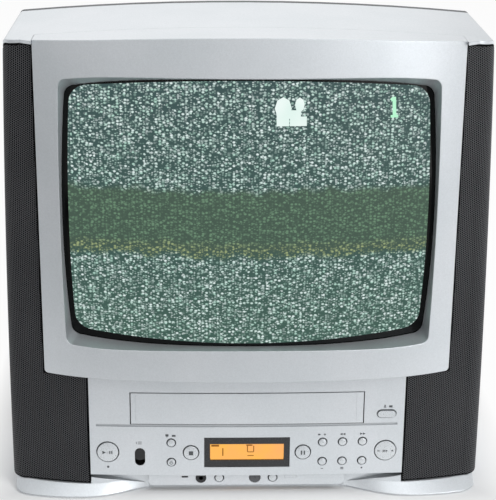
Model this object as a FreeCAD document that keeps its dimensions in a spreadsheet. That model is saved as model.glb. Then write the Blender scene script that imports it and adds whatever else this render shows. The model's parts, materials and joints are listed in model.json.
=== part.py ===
import FreeCAD, Part
import math
import os
import Sketcher

# A television with a built-in video cassette recorder, as separate pieces.
# X is to the right of the viewer, Y to the back, Z up, in millimetres.
# The origin is on the floor, under the middle of the object.

doc = FreeCAD.newDocument("television_recorder")
sheet = doc.addObject("Spreadsheet::Sheet", "sizes")
vector = FreeCAD.Vector
nodes = []


class Size:
    """A number that keeps the sheet expression it was worked out with."""

    def __init__(self, text, value):
        self.text = text
        self.value = float(value)

    def joined(self, sign, other, value):
        return Size("(" + self.text + sign + sized(other).text + ")", value)

    def __add__(self, other):
        return self.joined(" + ", other, self.value + sized(other).value)

    def __radd__(self, other):
        return sized(other) + self

    def __sub__(self, other):
        return self.joined(" - ", other, self.value - sized(other).value)

    def __rsub__(self, other):
        return sized(other) - self

    def __mul__(self, other):
        return self.joined(" * ", other, self.value * sized(other).value)

    def __rmul__(self, other):
        return sized(other) * self

    def __truediv__(self, other):
        return self.joined(" / ", other, self.value / sized(other).value)

    def __neg__(self):
        return Size("(0 - " + self.text + ")", -self.value)


def sized(amount):
    if isinstance(amount, Size):
        return amount
    return Size("(" + repr(float(amount)) + ")", amount)


def root(amount):
    return Size("sqrt(" + amount.text + ")", math.sqrt(amount.value))


def counted(amount):
    return range(int(amount.value))


def size(alias, value):
    """Write one driving size into the sheet and give it back."""
    row = len(sheet.getUsedCells()) // 2 + 1
    sheet.set("A" + str(row), alias)
    sheet.set("B" + str(row), str(value))
    sheet.setAlias("B" + str(row), alias)
    return Size("sizes." + alias, value)


# Whole object
overall_depth = size("overall_depth", 370)
bezel_reach = size("bezel_reach", 39)
foot_height = size("foot_height", 2)
front = bezel_reach - overall_depth / 2
rear = overall_depth / 2

# Cabinet
cabinet_width = size("cabinet_width", 379)
side_lean = size("side_lean", 7)
side_bow = size("side_bow", 1.8)
cabinet_height = size("cabinet_height", 382)
crown_height = size("crown_height", 8)
edge_radius = size("edge_radius", 4)
cabinet_wall = size("cabinet_wall", 2.6)
shell_depth = size("shell_depth", 112)
collar_depth = size("collar_depth", 8)
plinth_height = size("plinth_height", 8)
floor_thickness = size("floor_thickness", 3)
part_gap = size("part_gap", 0.3)
half_top = cabinet_width / 2
half_base = half_top + side_lean
base_width = half_base * 2
seam = foot_height + plinth_height
floor_top = foot_height + floor_thickness
joint = front + shell_depth

# Speaker grilles, baffles and speakers
lip_height = size("lip_height", 2.6)
grille_thickness = size("grille_thickness", 2)
corner_radius = size("corner_radius", 14)
corner_setback = size("corner_setback", 4)
grille_inner_reach = size("grille_inner_reach", 20)
grille_side_radius = size("grille_side_radius", 420)
baffle_thickness = size("baffle_thickness", 3)
speaker_inset = size("speaker_inset", 35.5)
speaker_height = size("speaker_height", 62)
speaker_opening = size("speaker_opening", 25)
speaker_radius = size("speaker_radius", 28.5)
speaker_depth = size("speaker_depth", 30)
magnet_radius = size("magnet_radius", 18)
magnet_depth = size("magnet_depth", 11)
speaker_across = half_base - speaker_inset
baffle_front = front + corner_setback + part_gap
baffle_back = baffle_front + baffle_thickness

# Screen bezel
grille_width = size("grille_width", 24)
bezel_bottom = size("bezel_bottom", 110)
bezel_wall = size("bezel_wall", 3)
bezel_corner = size("bezel_corner", 3)
bezel_edge_reach = size("bezel_edge_reach", 16)
bezel_middle_half = size("bezel_middle_half", 100)
bezel_middle_rise = size("bezel_middle_rise", 5.6)
bezel_side_radius = size("bezel_side_radius", 229)
bezel_half = half_top - grille_width
bezel_back = front + corner_setback

# Screen opening, on a plane in front of the glass and on one behind it
side_frame = size("side_frame", 14.8)
top_frame_corner = size("top_frame_corner", 17.9)
top_frame_middle = size("top_frame_middle", 22.7)
bottom_frame_corner = size("bottom_frame_corner", 24.5)
bottom_frame_middle = size("bottom_frame_middle", 27.6)
opening_side_bulge = size("opening_side_bulge", 1.8)
opening_corner = size("opening_corner", 4)
side_throat = size("side_throat", 25)
top_throat_corner = size("top_throat_corner", 39.7)
top_throat_middle = size("top_throat_middle", 32.3)
bottom_throat_corner = size("bottom_throat_corner", 33)
bottom_throat_middle = size("bottom_throat_middle", 23.8)
throat_corner = size("throat_corner", 9)
bevel_front = size("bevel_front", 40)
screen_centre = (bezel_bottom + cabinet_height) / 2
screen_room = (cabinet_height - bezel_bottom) / 2
opening_half_width = bezel_half - side_frame
opening_top_corner = screen_room - top_frame_corner
opening_top_middle = screen_room - top_frame_middle
opening_bottom_corner = screen_room - bottom_frame_corner
opening_bottom_middle = screen_room - bottom_frame_middle
throat_half_width = bezel_half - side_throat
throat_top_corner = screen_room - top_throat_corner
throat_top_middle = screen_room - top_throat_middle
throat_bottom_corner = screen_room - bottom_throat_corner
throat_bottom_middle = screen_room - bottom_throat_middle

# Picture tube
glass_radius = size("glass_radius", 575)
glass_reach = size("glass_reach", 35.5)
glass_gap = size("glass_gap", 0.5)
glass_thickness = size("glass_thickness", 11)
funnel_wall = size("funnel_wall", 4)
tube_side_room = size("tube_side_room", 7.5)
tube_top_room = size("tube_top_room", 14.5)
tube_bulge = size("tube_bulge", 3)
tube_corner = size("tube_corner", 22)
skirt_depth = size("skirt_depth", 35)
funnel_depth = size("funnel_depth", 142)
neck_radius = size("neck_radius", 14.5)
neck_length = size("neck_length", 108)
band_gap = size("band_gap", 0.2)
band_thickness = size("band_thickness", 1.2)
band_start = size("band_start", 6)
band_depth = size("band_depth", 22)
lug_thickness = size("lug_thickness", 2.5)
lug_side_room = size("lug_side_room", 8.5)
lug_top_room = size("lug_top_room", 9)
lug_half = size("lug_half", 6)
lug_room = size("lug_room", 1)
post_radius = size("post_radius", 4.4)
screw_radius = size("screw_radius", 2)
screw_gap = size("screw_gap", 0.05)
tube_half_width = bezel_half - tube_side_room
tube_half_height = screen_room - tube_top_room
lug_across = bezel_half - lug_side_room
lug_up = screen_room - lug_top_room
glass_front = front - glass_reach
skirt_back = front + skirt_depth
funnel_back = skirt_back + funnel_depth
neck_back = funnel_back + neck_length
lug_front = front + band_start

# Control fascia and what shows in it
fascia_half = size("fascia_half", 130)
fascia_bottom = size("fascia_bottom", 19)
fascia_reach = size("fascia_reach", 25)
fascia_radius = size("fascia_radius", 2400)
fascia_thickness = size("fascia_thickness", 2.5)
fascia_lip = size("fascia_lip", 6)
groove_half = size("groove_half", 124.5)
groove_height = size("groove_height", 64.6)
groove_width = size("groove_width", 2.2)
groove_depth = size("groove_depth", 1)
control_row = size("control_row", 40.3)
outer_control_across = size("outer_control_across", 115.3)
middle_control_across = size("middle_control_across", 46.4)
column_start = size("column_start", 62.7)
column_pitch = size("column_pitch", 16.6)
row_offset = size("row_offset", 8.9)
large_button_radius = size("large_button_radius", 8.6)
medium_button_radius = size("medium_button_radius", 6)
small_button_radius = size("small_button_radius", 3.1)
ring_gap = size("ring_gap", 0.9)
button_proud = size("button_proud", 1.4)
button_travel = size("button_travel", 1.2)
flange_overlap = size("flange_overlap", 1)
flange_thickness = size("flange_thickness", 1)
flange_gap = size("flange_gap", 0.7)
stem_radius = size("stem_radius", 1.6)
rocker_tilt_room = size("rocker_tilt_room", 1.4)
rocker_pivot_reach = size("rocker_pivot_reach", 3)
rocker_pin_radius = size("rocker_pin_radius", 1)
rocker_press_room = size("rocker_press_room", 0.75)
rocker_switch_spread = size("rocker_switch_spread", 6.5)
display_half_width = size("display_half_width", 35.2)
display_half_height = size("display_half_height", 13.4)
display_depth = size("display_depth", 4)
window_half_width = size("window_half_width", 30.6)
window_half_height = size("window_half_height", 7.5)
panel_overlap = size("panel_overlap", 1.5)
panel_thickness = size("panel_thickness", 1.6)
slide_across = size("slide_across", 88.7)
slide_height = size("slide_height", 35.9)
slide_half_width = size("slide_half_width", 4.2)
slide_half_height = size("slide_half_height", 8.1)
slide_travel = size("slide_travel", 5)
eject_across = size("eject_across", 115.2)
eject_height = size("eject_height", 74)
eject_half_width = size("eject_half_width", 7.4)
eject_half_height = size("eject_half_height", 2.9)
board_reach = size("board_reach", 12)
board_thickness = size("board_thickness", 1.6)
board_half = size("board_half", 123)
board_bottom = size("board_bottom", 20)
board_tab_half = size("board_tab_half", 76)
board_tab_bottom = size("board_tab_bottom", 9)
board_top = size("board_top", 61)
switch_half = size("switch_half", 3)
switch_height = size("switch_height", 3.5)
board_front = front - board_reach

# Strip with the sockets, set back under the fascia
strip_half = size("strip_half", 82)
strip_bottom = size("strip_bottom", 7)
strip_setback = size("strip_setback", 6)
strip_thickness = size("strip_thickness", 2.5)
strip_corner = size("strip_corner", 4)
strip_row = size("strip_row", 13.9)
strip_button_radius = size("strip_button_radius", 3.2)
left_strip_button = size("left_strip_button", 22.9)
right_strip_button = size("right_strip_button", 21.9)
sensor_across = size("sensor_across", 6.9)
sensor_radius = size("sensor_radius", 4.6)
jack_across = size("jack_across", 38.2)
jack_radius = size("jack_radius", 4.4)
jack_bore = size("jack_bore", 1.8)
jack_barrel = size("jack_barrel", 3.4)
jack_length = size("jack_length", 14)
slot_across = size("slot_across", 51.7)
slot_half_width = size("slot_half_width", 2.6)
slot_half_height = size("slot_half_height", 0.7)
strip_front = front - fascia_reach + strip_setback

# Base with its two swelling feet
pod_inner = size("pod_inner", 82)
pod_inner_reach = size("pod_inner_reach", 11)
pod_shoulder = size("pod_shoulder", 110)
pod_shoulder_reach = size("pod_shoulder_reach", 23.9)
pod_shoulder_radius = size("pod_shoulder_radius", 69)
pod_apex = size("pod_apex", 139)
pod_apex_reach = size("pod_apex_reach", 29.8)
pod_apex_radius = size("pod_apex_radius", 162)
pod_outer_reach = size("pod_outer_reach", 24.3)
pod_outer_radius = size("pod_outer_radius", 20)
pod_side_reach = size("pod_side_reach", 11)
pod_top_shoulder_reach = size("pod_top_shoulder_reach", 17.5)
pod_top_apex_reach = size("pod_top_apex_reach", 20.2)
pod_top_outer_reach = size("pod_top_outer_reach", 11.4)
pod_top_side_reach = size("pod_top_side_reach", 0.5)
pod_wall = size("pod_wall", 2.6)
pod_low_rise = size("pod_low_rise", 4)
pod_high_rise = size("pod_high_rise", 14)
plinth_front_reach = size("plinth_front_reach", 9)
foot_radius = size("foot_radius", 9)
foot_inset = size("foot_inset", 46.5)
foot_front_distance = size("foot_front_distance", 14)
foot_back_distance = size("foot_back_distance", 30)

# Rear cover
shelf_top = size("shelf_top", 128)
shelf_top_back = size("shelf_top_back", 118)
shelf_half_back = size("shelf_half_back", 165)
hump_half_back = size("hump_half_back", 96)
hump_low_back = size("hump_low_back", 120)
hump_high_back = size("hump_high_back", 306)
hump_crown_back = size("hump_crown_back", 5)
tongue_length = size("tongue_length", 7)
tongue_thickness = size("tongue_thickness", 2)
vent_count = size("vent_count", 13)
vent_pitch = size("vent_pitch", 11)
vent_width = size("vent_width", 4)
vent_length = size("vent_length", 52)
vent_start = size("vent_start", 46)
back_vent_length = size("back_vent_length", 44)
back_vent_low = size("back_vent_low", 212)
terminal_across = size("terminal_across", 96)
terminal_half_width = size("terminal_half_width", 46)
terminal_low = size("terminal_low", 34)
terminal_high = size("terminal_high", 78)
terminal_thickness = size("terminal_thickness", 2)
socket_radius = size("socket_radius", 4.2)
socket_bore = size("socket_bore", 1.7)
socket_length = size("socket_length", 7)
socket_pitch = size("socket_pitch", 14)
gland_across = size("gland_across", 112)
gland_height = size("gland_height", 40)
gland_radius = size("gland_radius", 6)
gland_bore = size("gland_bore", 3.2)
gland_length = size("gland_length", 9)

# Cassette door and deck
door_half = size("door_half", 95.7)
door_bottom = size("door_bottom", 66.2)
door_height = size("door_height", 27.6)
door_thickness = size("door_thickness", 2)
door_gap = size("door_gap", 0.8)
hinge_pin_radius = size("hinge_pin_radius", 1.2)
hinge_rise = size("hinge_rise", 6.2)
hinge_reach = size("hinge_reach", 17.9)
hinge_boss_radius = size("hinge_boss_radius", 2.2)
hinge_clearance = size("hinge_clearance", 0.06)
ear_thickness = size("ear_thickness", 2)
spring_wire = size("spring_wire", 0.5)
spring_length = size("spring_length", 4)
deck_half = size("deck_half", 105.5)
deck_sheet = size("deck_sheet", 1.5)
deck_setback = size("deck_setback", 1)
deck_length = size("deck_length", 199)
deck_top = size("deck_top", 99)
deck_flange = size("deck_flange", 9)
rail_width = size("rail_width", 2)
deck_floor = size("deck_floor", 34)
carriage_half = size("carriage_half", 103.5)
carriage_front = size("carriage_front", 19)
carriage_length = size("carriage_length", 60)
carriage_low = size("carriage_low", 62)
carriage_high = size("carriage_high", 97)
holder_half = size("holder_half", 99)
holder_front = size("holder_front", 17)
holder_length = size("holder_length", 66)
holder_bottom = size("holder_bottom", 66)
holder_height = size("holder_height", 28.4)
holder_lip = size("holder_lip", 18)
reel_across = size("reel_across", 46)
reel_distance = size("reel_distance", 74)
reel_radius = size("reel_radius", 15)
reel_height = size("reel_height", 20)
drum_distance = size("drum_distance", 162)
drum_radius = size("drum_radius", 31)
drum_height = size("drum_height", 20)
drum_shaft = size("drum_shaft", 3)
capstan_across = size("capstan_across", 62)
capstan_distance = size("capstan_distance", 124)
capstan_radius = size("capstan_radius", 2)
flywheel_radius = size("flywheel_radius", 20)
pinch_across = size("pinch_across", 84)
pinch_distance = size("pinch_distance", 134)
roller_across = size("roller_across", 66.3)
roller_distance = size("roller_distance", 135.3)
roller_radius = size("roller_radius", 6.5)
shaft_clearance = size("shaft_clearance", 0.05)

# Boards and large parts at the back
main_board_back = size("main_board_back", 12)
main_board_length = size("main_board_length", 104)
main_board_half = size("main_board_half", 138)
main_board_level = size("main_board_level", 12)
flyback_half = size("flyback_half", 19)
flyback_height = size("flyback_height", 62)
sink_length = size("sink_length", 90)
sink_height = size("sink_height", 48)
sink_fins = size("sink_fins", 7)
tuner_length = size("tuner_length", 58)
tuner_height = size("tuner_height", 24)


# How a shape is tied to the sheet

turns = {
    "up": FreeCAD.Rotation(),
    "right": FreeCAD.Rotation(vector(0, 1, 0), 90),
    "back": FreeCAD.Rotation(vector(1, 0, 0), -90),
    "front": FreeCAD.Rotation(vector(1, 0, 0), 90),
}


def tie(thing, path, amount):
    thing.setExpression(path, sized(amount).text)


def place(thing, x, y, z, turn="up"):
    thing.Placement = FreeCAD.Placement(vector(0, 0, 0), turns[turn])
    tie(thing, ".Placement.Base.x", x)
    tie(thing, ".Placement.Base.y", y)
    tie(thing, ".Placement.Base.z", z)
    return thing


def block(name, x_span, y_span, z_span):
    box = doc.addObject("Part::Box", name)
    tie(box, "Length", sized(x_span[1]) - x_span[0])
    tie(box, "Width", sized(y_span[1]) - y_span[0])
    tie(box, "Height", sized(z_span[1]) - z_span[0])
    return place(box, x_span[0], y_span[0], z_span[0])


def rod(name, turn, x, y, z, radius, length):
    cylinder = doc.addObject("Part::Cylinder", name)
    tie(cylinder, "Radius", radius)
    tie(cylinder, "Height", length)
    return place(cylinder, x, y, z, turn)


def cone(name, turn, x, y, z, start_radius, end_radius, length):
    piece = doc.addObject("Part::Cone", name)
    tie(piece, "Radius1", start_radius)
    tie(piece, "Radius2", end_radius)
    tie(piece, "Height", length)
    return place(piece, x, y, z, turn)


def ball(name, x, y, z, radius):
    sphere = doc.addObject("Part::Sphere", name)
    tie(sphere, "Radius", radius)
    return place(sphere, x, y, z)


def fused(name, *pieces):
    join = doc.addObject("Part::MultiFuse", name)
    join.Shapes = list(pieces)
    return join


def cut(name, base, *tools):
    result = doc.addObject("Part::Cut", name)
    result.Base = base
    result.Tool = tools[0] if len(tools) == 1 else fused(name + "_tools", *tools)
    return result


def shared(name, first, second):
    result = doc.addObject("Part::Common", name)
    result.Base = first
    result.Tool = second
    return result


def grouped(name, *pieces):
    group = doc.addObject("Part::Compound", name)
    group.Links = list(pieces)
    return group


def mirrored(name, source):
    twin = doc.addObject("Part::Mirroring", name)
    twin.Source = source
    twin.Base = vector(0, 0, 0)
    twin.Normal = vector(1, 0, 0)
    return twin


def node(label, shape):
    """Take a finished shape as one named piece of the object."""
    shape.Label = label
    nodes.append(shape)
    return shape


# Sketches, pads, lofts and turned bodies


def new_sketch(body, role, name, level):
    """A sketch on one of the body's own planes, moved along the world axis to level."""
    plane = [item for item in body.Origin.OriginFeatures if item.Role == role][0]
    sketch = body.newObject("Sketcher::SketchObject", name)
    sketch.AttachmentSupport = [(plane, "")]
    sketch.MapMode = "FlatFace"
    tie(sketch, ".AttachmentOffset.Base.z", -sized(level) if role == "XZ_Plane" else level)
    return sketch


def arc_between(start, end, radius):
    """The short arc from start to end; a positive radius has its centre on the left."""
    chord = end - start
    half = chord.Length / 2
    side = vector(-chord.y, chord.x, 0)
    side.normalize()
    height = math.sqrt(max(radius * radius - half * half, 0))
    centre = (start + end) / 2 + side * math.copysign(height, radius)
    first, last = (start, end) if radius > 0 else (end, start)
    angles = [math.atan2(point.y - centre.y, point.x - centre.x) for point in (first, last)]
    return Part.ArcOfCircle(Part.Circle(centre, vector(0, 0, 1), abs(radius)), *angles)


def draw(sketch, points):
    """A closed outline; a point with a third value starts an arc of that radius."""
    first = sketch.GeometryCount
    count = len(points)
    corners = [vector(sized(point[0]).value, sized(point[1]).value, 0) for point in points]
    ends = []
    for index, point in enumerate(points):
        start = corners[index]
        end = corners[(index + 1) % count]
        if len(point) == 3:
            radius = sized(point[2])
            sketch.addGeometry(arc_between(start, end, radius.value))
            constraint = Sketcher.Constraint("Radius", first + index, abs(radius.value))
            number = sketch.addConstraint(constraint)
            turned_back = radius.value < 0
            sketch.setExpression("Constraints[%d]" % number, (-radius if turned_back else radius).text)
            ends.append((2, 1) if turned_back else (1, 2))
        else:
            sketch.addGeometry(Part.LineSegment(start, end))
            ends.append((1, 2))
    for index in range(count):
        following = (index + 1) % count
        join = (first + index, ends[index][1], first + following, ends[following][0])
        sketch.addConstraint(Sketcher.Constraint("Coincident", *join))
    for index, point in enumerate(points):
        for kind, amount in (("DistanceX", point[0]), ("DistanceY", point[1])):
            spot = (-1, 1, first + index, ends[index][0], sized(amount).value)
            number = sketch.addConstraint(Sketcher.Constraint(kind, *spot))
            sketch.setExpression("Constraints[%d]" % number, sized(amount).text)


def slab(name, role, span, *outlines):
    """A body with one pad, from the first to the second level of span."""
    body = doc.addObject("PartDesign::Body", name)
    base = span[1] if role == "XZ_Plane" else span[0]
    sketch = new_sketch(body, role, name + "_outline", base)
    for points in outlines:
        draw(sketch, points)
    pad = body.newObject("PartDesign::Pad", name + "_pad")
    pad.Profile = sketch
    tie(pad, "Length", sized(span[1]) - span[0])
    return body


def lofted(name, role, sections):
    """A body lofted through outlines, each given with its level."""
    body = doc.addObject("PartDesign::Body", name)
    sketches = []
    for number, (level, points) in enumerate(sections):
        sketch = new_sketch(body, role, name + "_section_" + str(number), level)
        draw(sketch, points)
        sketches.append(sketch)
    loft = body.newObject("PartDesign::AdditiveLoft", name + "_loft")
    loft.Profile = sketches[0]
    loft.Sections = sketches[1:]
    loft.Ruled = True
    return body


def turned(name, turn, x, y, z, points):
    """A body turned about its own axis; points are (radius, height along the axis)."""
    body = doc.addObject("PartDesign::Body", name)
    sketch = new_sketch(body, "XZ_Plane", name + "_profile", 0)
    draw(sketch, points)
    revolution = body.newObject("PartDesign::Revolution", name + "_turn")
    revolution.Profile = sketch
    revolution.ReferenceAxis = (sketch, ["V_Axis"])
    revolution.Angle = 360
    return place(body, x, y, z, turn)


# Outlines that several pieces share


def arc_radius(half_chord, rise):
    return (half_chord * half_chord + rise * rise) / (2 * rise)


def case_outline(half_low, low, half_high, high, crown, corner):
    """Front view of the case: bowed sides that lean in, and a crowned top."""
    flat_half = half_high - corner
    return [
        (-half_low, low),
        (half_low, low, side_radius),
        (half_high, high - corner, corner),
        (flat_half, high, arc_radius(flat_half, crown)),
        (-flat_half, high, corner),
        (-half_high, high - corner, side_radius),
    ]


def stadium(x, z, half_width, half_height):
    """A slot with round ends, upright or lying, about its centre."""
    if half_width.value > half_height.value:
        run = half_width - half_height
        return [
            (x - run, z - half_height),
            (x + run, z - half_height, half_height * 1.0001),
            (x + run, z + half_height),
            (x - run, z + half_height, half_height * 1.0001),
        ]
    run = half_height - half_width
    return [
        (x + half_width, z - run),
        (x + half_width, z + run, half_width * 1.0001),
        (x - half_width, z + run),
        (x - half_width, z - run, half_width * 1.0001),
    ]


def barrel(half_width, half_height, bulge, corner):
    """Front view of the tube: four bowed sides and round corners."""
    run_x = half_width - corner
    run_z = half_height - corner
    high = screen_centre + half_height
    low = screen_centre - half_height
    side = arc_radius(run_z, bulge)
    cap = arc_radius(run_x, bulge)
    return [
        (-run_x, low, cap),
        (run_x, low, corner),
        (half_width, low + corner, side),
        (half_width, high - corner, corner),
        (run_x, high, cap),
        (-run_x, high, corner),
        (-half_width, high - corner, side),
        (-half_width, low + corner, corner),
    ]


def screen_edge(half_width, top_corner, top_middle, bottom_corner, bottom_middle, corner, grow):
    """One section of the slanted wall round the screen, made larger by grow."""
    wide = half_width + grow
    top = screen_centre + top_corner + grow
    bottom = screen_centre - bottom_corner - grow
    run = wide - corner
    side = arc_radius((top - bottom) / 2 - corner, opening_side_bulge)
    return [
        (-run, bottom, arc_radius(run, bottom_middle - bottom_corner)),
        (run, bottom, corner),
        (wide, bottom + corner, side),
        (wide, top - corner, corner),
        (run, top, arc_radius(run, top_middle - top_corner)),
        (-run, top, corner),
        (-wide, top - corner, side),
        (-wide, bottom + corner, corner),
    ]


def on_fascia(across):
    """Depth of the gently bowed fascia's front face at a distance from the middle."""
    rise = fascia_radius - root(fascia_radius * fascia_radius - across * across)
    return front - fascia_reach + rise


def crown_at(across):
    """Height of the crowned top at a distance from the middle."""
    flat_half = half_top - edge_radius
    radius = arc_radius(flat_half, crown_height)
    return cabinet_height + crown_height - radius + root(radius * radius - across * across)


def side_plan(half, inner, back):
    """Plan of the front on the right, from the inner edge round the corner to back."""
    return [
        (inner, front - grille_inner_reach, grille_side_radius),
        (half - corner_radius, front + corner_setback - corner_radius, corner_radius),
        (half, front + corner_setback),
        (half, back),
        (inner, back),
    ]


def case_at(inset, low):
    """The cabinet's front view, drawn in by inset on every side but the bottom."""
    return case_outline(side_at(low) - inset, low, half_top - inset,
                        cabinet_height - inset, crown_height, edge_radius)


def side_at(height):
    """Distance of the leaning and bowed side from the middle, at a height."""
    share = (height - seam) / (cabinet_height - edge_radius - seam)
    return half_base - side_lean * share + side_bow * 4 * share * (1 - share)


far_front = front - bezel_reach - 1
crown_radius = arc_radius(half_top - edge_radius, crown_height)
side_radius = arc_radius((cabinet_height - edge_radius - seam) / 2, side_bow)


def under_crown(name, drop, span):
    """All that lies under the crowned top lowered by drop, wider than the cabinet."""
    wide = half_base + 1
    high = cabinet_height - drop
    shoulder = high - edge_radius
    flat_half = half_top - edge_radius
    return slab(name, "XZ_Plane", span, [
        (-wide, seam - 1),
        (wide, seam - 1),
        (wide, shoulder),
        (half_top, shoulder, edge_radius),
        (flat_half, high, crown_radius),
        (-flat_half, high, edge_radius),
        (-half_top, shoulder),
        (-wide, shoulder),
    ])


# Front cabinet: a crowned top, two leaning sides and the plates that carry the speakers
case_block = slab("case_block", "XZ_Plane", (baffle_front, joint), case_at(0, seam))
case_inside = slab(
    "case_inside", "XZ_Plane", (baffle_back, joint + 1), case_at(cabinet_wall, seam - 1))
upper_window = block(
    "upper_window", (-bezel_half - part_gap, bezel_half + part_gap),
    (far_front, baffle_back + 1), (bezel_bottom, screen_centre + lug_up + lug_half + lug_room))
lower_window = block(
    "lower_window", (-fascia_half - part_gap, fascia_half + part_gap),
    (far_front, baffle_back + 1), (seam - 1, bezel_bottom + 1))
lip_plan = slab(
    "lip_plan", "XY_Plane", (cabinet_height - lip_height - edge_radius - 1, cabinet_height + crown_height + 1),
    side_plan(half_top, bezel_half + part_gap, baffle_back))
lip_front = slab("lip_front", "XZ_Plane", (far_front, baffle_back), case_at(0, seam))
right_lip = cut("right_lip", shared("lip_solid", lip_plan, lip_front),
                under_crown("under_lip", lip_height, (far_front, baffle_front)))
tongue_inset = cabinet_wall + part_gap
tongue_root = slab(
    "tongue_root", "XZ_Plane", (joint - tongue_length, joint), case_at(cabinet_wall / 2, seam))
tongue_tip = slab(
    "tongue_tip", "XZ_Plane", (joint - 1, joint + tongue_length), case_at(tongue_inset, seam))
tongue_inside = slab(
    "tongue_inside", "XZ_Plane", (joint - tongue_length - 1, joint + tongue_length + 1),
    case_at(tongue_inset + tongue_thickness, seam - 1))
tongue = cut("tongue", fused("tongue_solid", tongue_root, tongue_tip), tongue_inside)
speaker_hole = rod(
    "speaker_hole", "back", speaker_across, baffle_front - 1, speaker_height,
    speaker_opening, baffle_thickness + 2)
anchor_half = size("anchor_half", 5)
anchor_inset = size("anchor_inset", 18.5)
anchor_height = size("anchor_height", 12)
anchor_across = half_base - anchor_inset
case_screw_radius = size("case_screw_radius", 1.8)
anchor = block(
    "anchor", (anchor_across - anchor_half, anchor_across + anchor_half),
    (baffle_back - 1, baffle_back + 2 * anchor_half), (seam, seam + anchor_height))
anchor_hole = rod(
    "anchor_hole", "up", anchor_across, baffle_back + anchor_half, seam - 1,
    case_screw_radius + screw_gap, anchor_height)
side_screw_drop = size("side_screw_drop", 52)
side_screw_height = cabinet_height - side_screw_drop
side_screw_inset = size("side_screw_inset", 4)
side_screw_depth = joint + side_screw_inset
side_screw_hole = rod(
    "side_screw_hole", "right", side_at(side_screw_height) - cabinet_wall * 4, side_screw_depth,
    side_screw_height, case_screw_radius + screw_gap, cabinet_wall * 5)
case_shell = cut("case_shell", case_block, case_inside, upper_window, lower_window)
node("front_cabinet", cut(
    "front_cabinet",
    fused("cabinet_solid", case_shell, tongue, right_lip, mirrored("left_lip", right_lip),
          anchor, mirrored("left_anchor", anchor)),
    speaker_hole, mirrored("left_speaker_hole", speaker_hole),
    side_screw_hole, mirrored("left_side_screw_hole", side_screw_hole),
    anchor_hole, mirrored("left_anchor_hole", anchor_hole)))


# Speaker grilles: thin curved panels round the front corners


def grille_section(half):
    """Plan of the grille at one height: a bowed strip that turns round the corner."""
    inner = fascia_half + part_gap
    bend = corner_radius - grille_thickness
    corner_front = front + corner_setback - corner_radius
    return [
        (inner, front - grille_inner_reach, grille_side_radius),
        (half - corner_radius, corner_front, corner_radius),
        (half, front + corner_setback),
        (half - grille_thickness, front + corner_setback, -bend),
        (half - corner_radius, corner_front + grille_thickness, grille_thickness - grille_side_radius),
        (inner, front - grille_inner_reach + grille_thickness),
    ]


grille_level_count = size("grille_level_count", 5)
grille_low = seam + part_gap
grille_levels = [grille_low + (cabinet_height - grille_low) * number / (grille_level_count - 1)
                 for number in counted(grille_level_count)]
grille_strip = lofted("grille_strip", "XY_Plane", [
    (level, grille_section(side_at(level))) for level in grille_levels])
bezel_notch = block(
    "bezel_notch", (0, bezel_half + part_gap), (far_front, baffle_back),
    (bezel_bottom - part_gap, cabinet_height + crown_height))
right_grille = cut(
    "right_grille",
    shared("grille_under_lip", grille_strip,
           under_crown("grille_limit", lip_height + part_gap, (far_front, baffle_back))),
    bezel_notch)
node("right_speaker_grille", right_grille)
node("left_speaker_grille", mirrored("left_grille", right_grille))

# Speakers: a pressed basket with its magnet, and a paper cone inside it
basket_wall = size("basket_wall", 1)
cone_gap = size("cone_gap", 0.4)
voice_radius = size("voice_radius", 7)
basket_back = speaker_depth - magnet_depth
basket = turned("basket", "back", speaker_across, baffle_back, speaker_height, [
    (speaker_opening, 0),
    (speaker_radius, 0),
    (speaker_radius, basket_wall),
    (speaker_opening + basket_wall, basket_wall),
    (magnet_radius, basket_back),
    (magnet_radius, speaker_depth),
    (0, speaker_depth),
    (0, basket_back + 2),
    (voice_radius, basket_back + 2),
    (voice_radius, basket_back - basket_wall),
    (magnet_radius - basket_wall, basket_back - basket_wall),
    (speaker_opening - basket_wall, basket_wall),
])
speaker_cone = turned("speaker_cone", "back", speaker_across, baffle_back, speaker_height, [
    (voice_radius - cone_gap, basket_back - 1 - basket_wall),
    (speaker_opening - basket_wall - cone_gap, 0),
    (speaker_opening - basket_wall - cone_gap, basket_wall),
    (voice_radius - cone_gap, basket_back - basket_wall - cone_gap),
    (voice_radius - cone_gap, basket_back + 1),
    (0, basket_back + 1),
    (0, basket_back - 1 - basket_wall),
])
node("right_speaker", basket)
node("left_speaker", mirrored("left_basket", basket))
node("speaker_cones", grouped("speaker_cones", speaker_cone, mirrored("left_cone", speaker_cone)))


# Screen bezel: a bowed front shell with a slanted wall round the glass


def bezel_plan(inset, back):
    edge = bezel_half - inset
    side = front - bezel_edge_reach + inset
    middle = front - bezel_reach + bezel_middle_rise + inset
    middle_radius = arc_radius(bezel_middle_half, bezel_middle_rise) - inset
    return [
        (-edge, back),
        (-edge, side, bezel_side_radius - inset),
        (-bezel_middle_half, middle, middle_radius),
        (bezel_middle_half, middle, bezel_side_radius - inset),
        (edge, side),
        (edge, back),
    ]


def bezel_face(inset):
    edge = bezel_half - inset
    low = bezel_bottom + inset
    high = crown_at(bezel_half) - inset
    return [
        (-edge + bezel_corner, low),
        (edge - bezel_corner, low, bezel_corner),
        (edge, low + bezel_corner),
        (edge, high, crown_radius),
        (-edge, high),
        (-edge, low + bezel_corner, bezel_corner),
    ]


def bevel(name, grow):
    return lofted(name, "XZ_Plane", [
        (front - bevel_front, screen_edge(
            opening_half_width, opening_top_corner, opening_top_middle,
            opening_bottom_corner, opening_bottom_middle, opening_corner, grow)),
        (front, screen_edge(
            throat_half_width, throat_top_corner, throat_top_middle,
            throat_bottom_corner, throat_bottom_middle, throat_corner, grow)),
    ])


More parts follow.
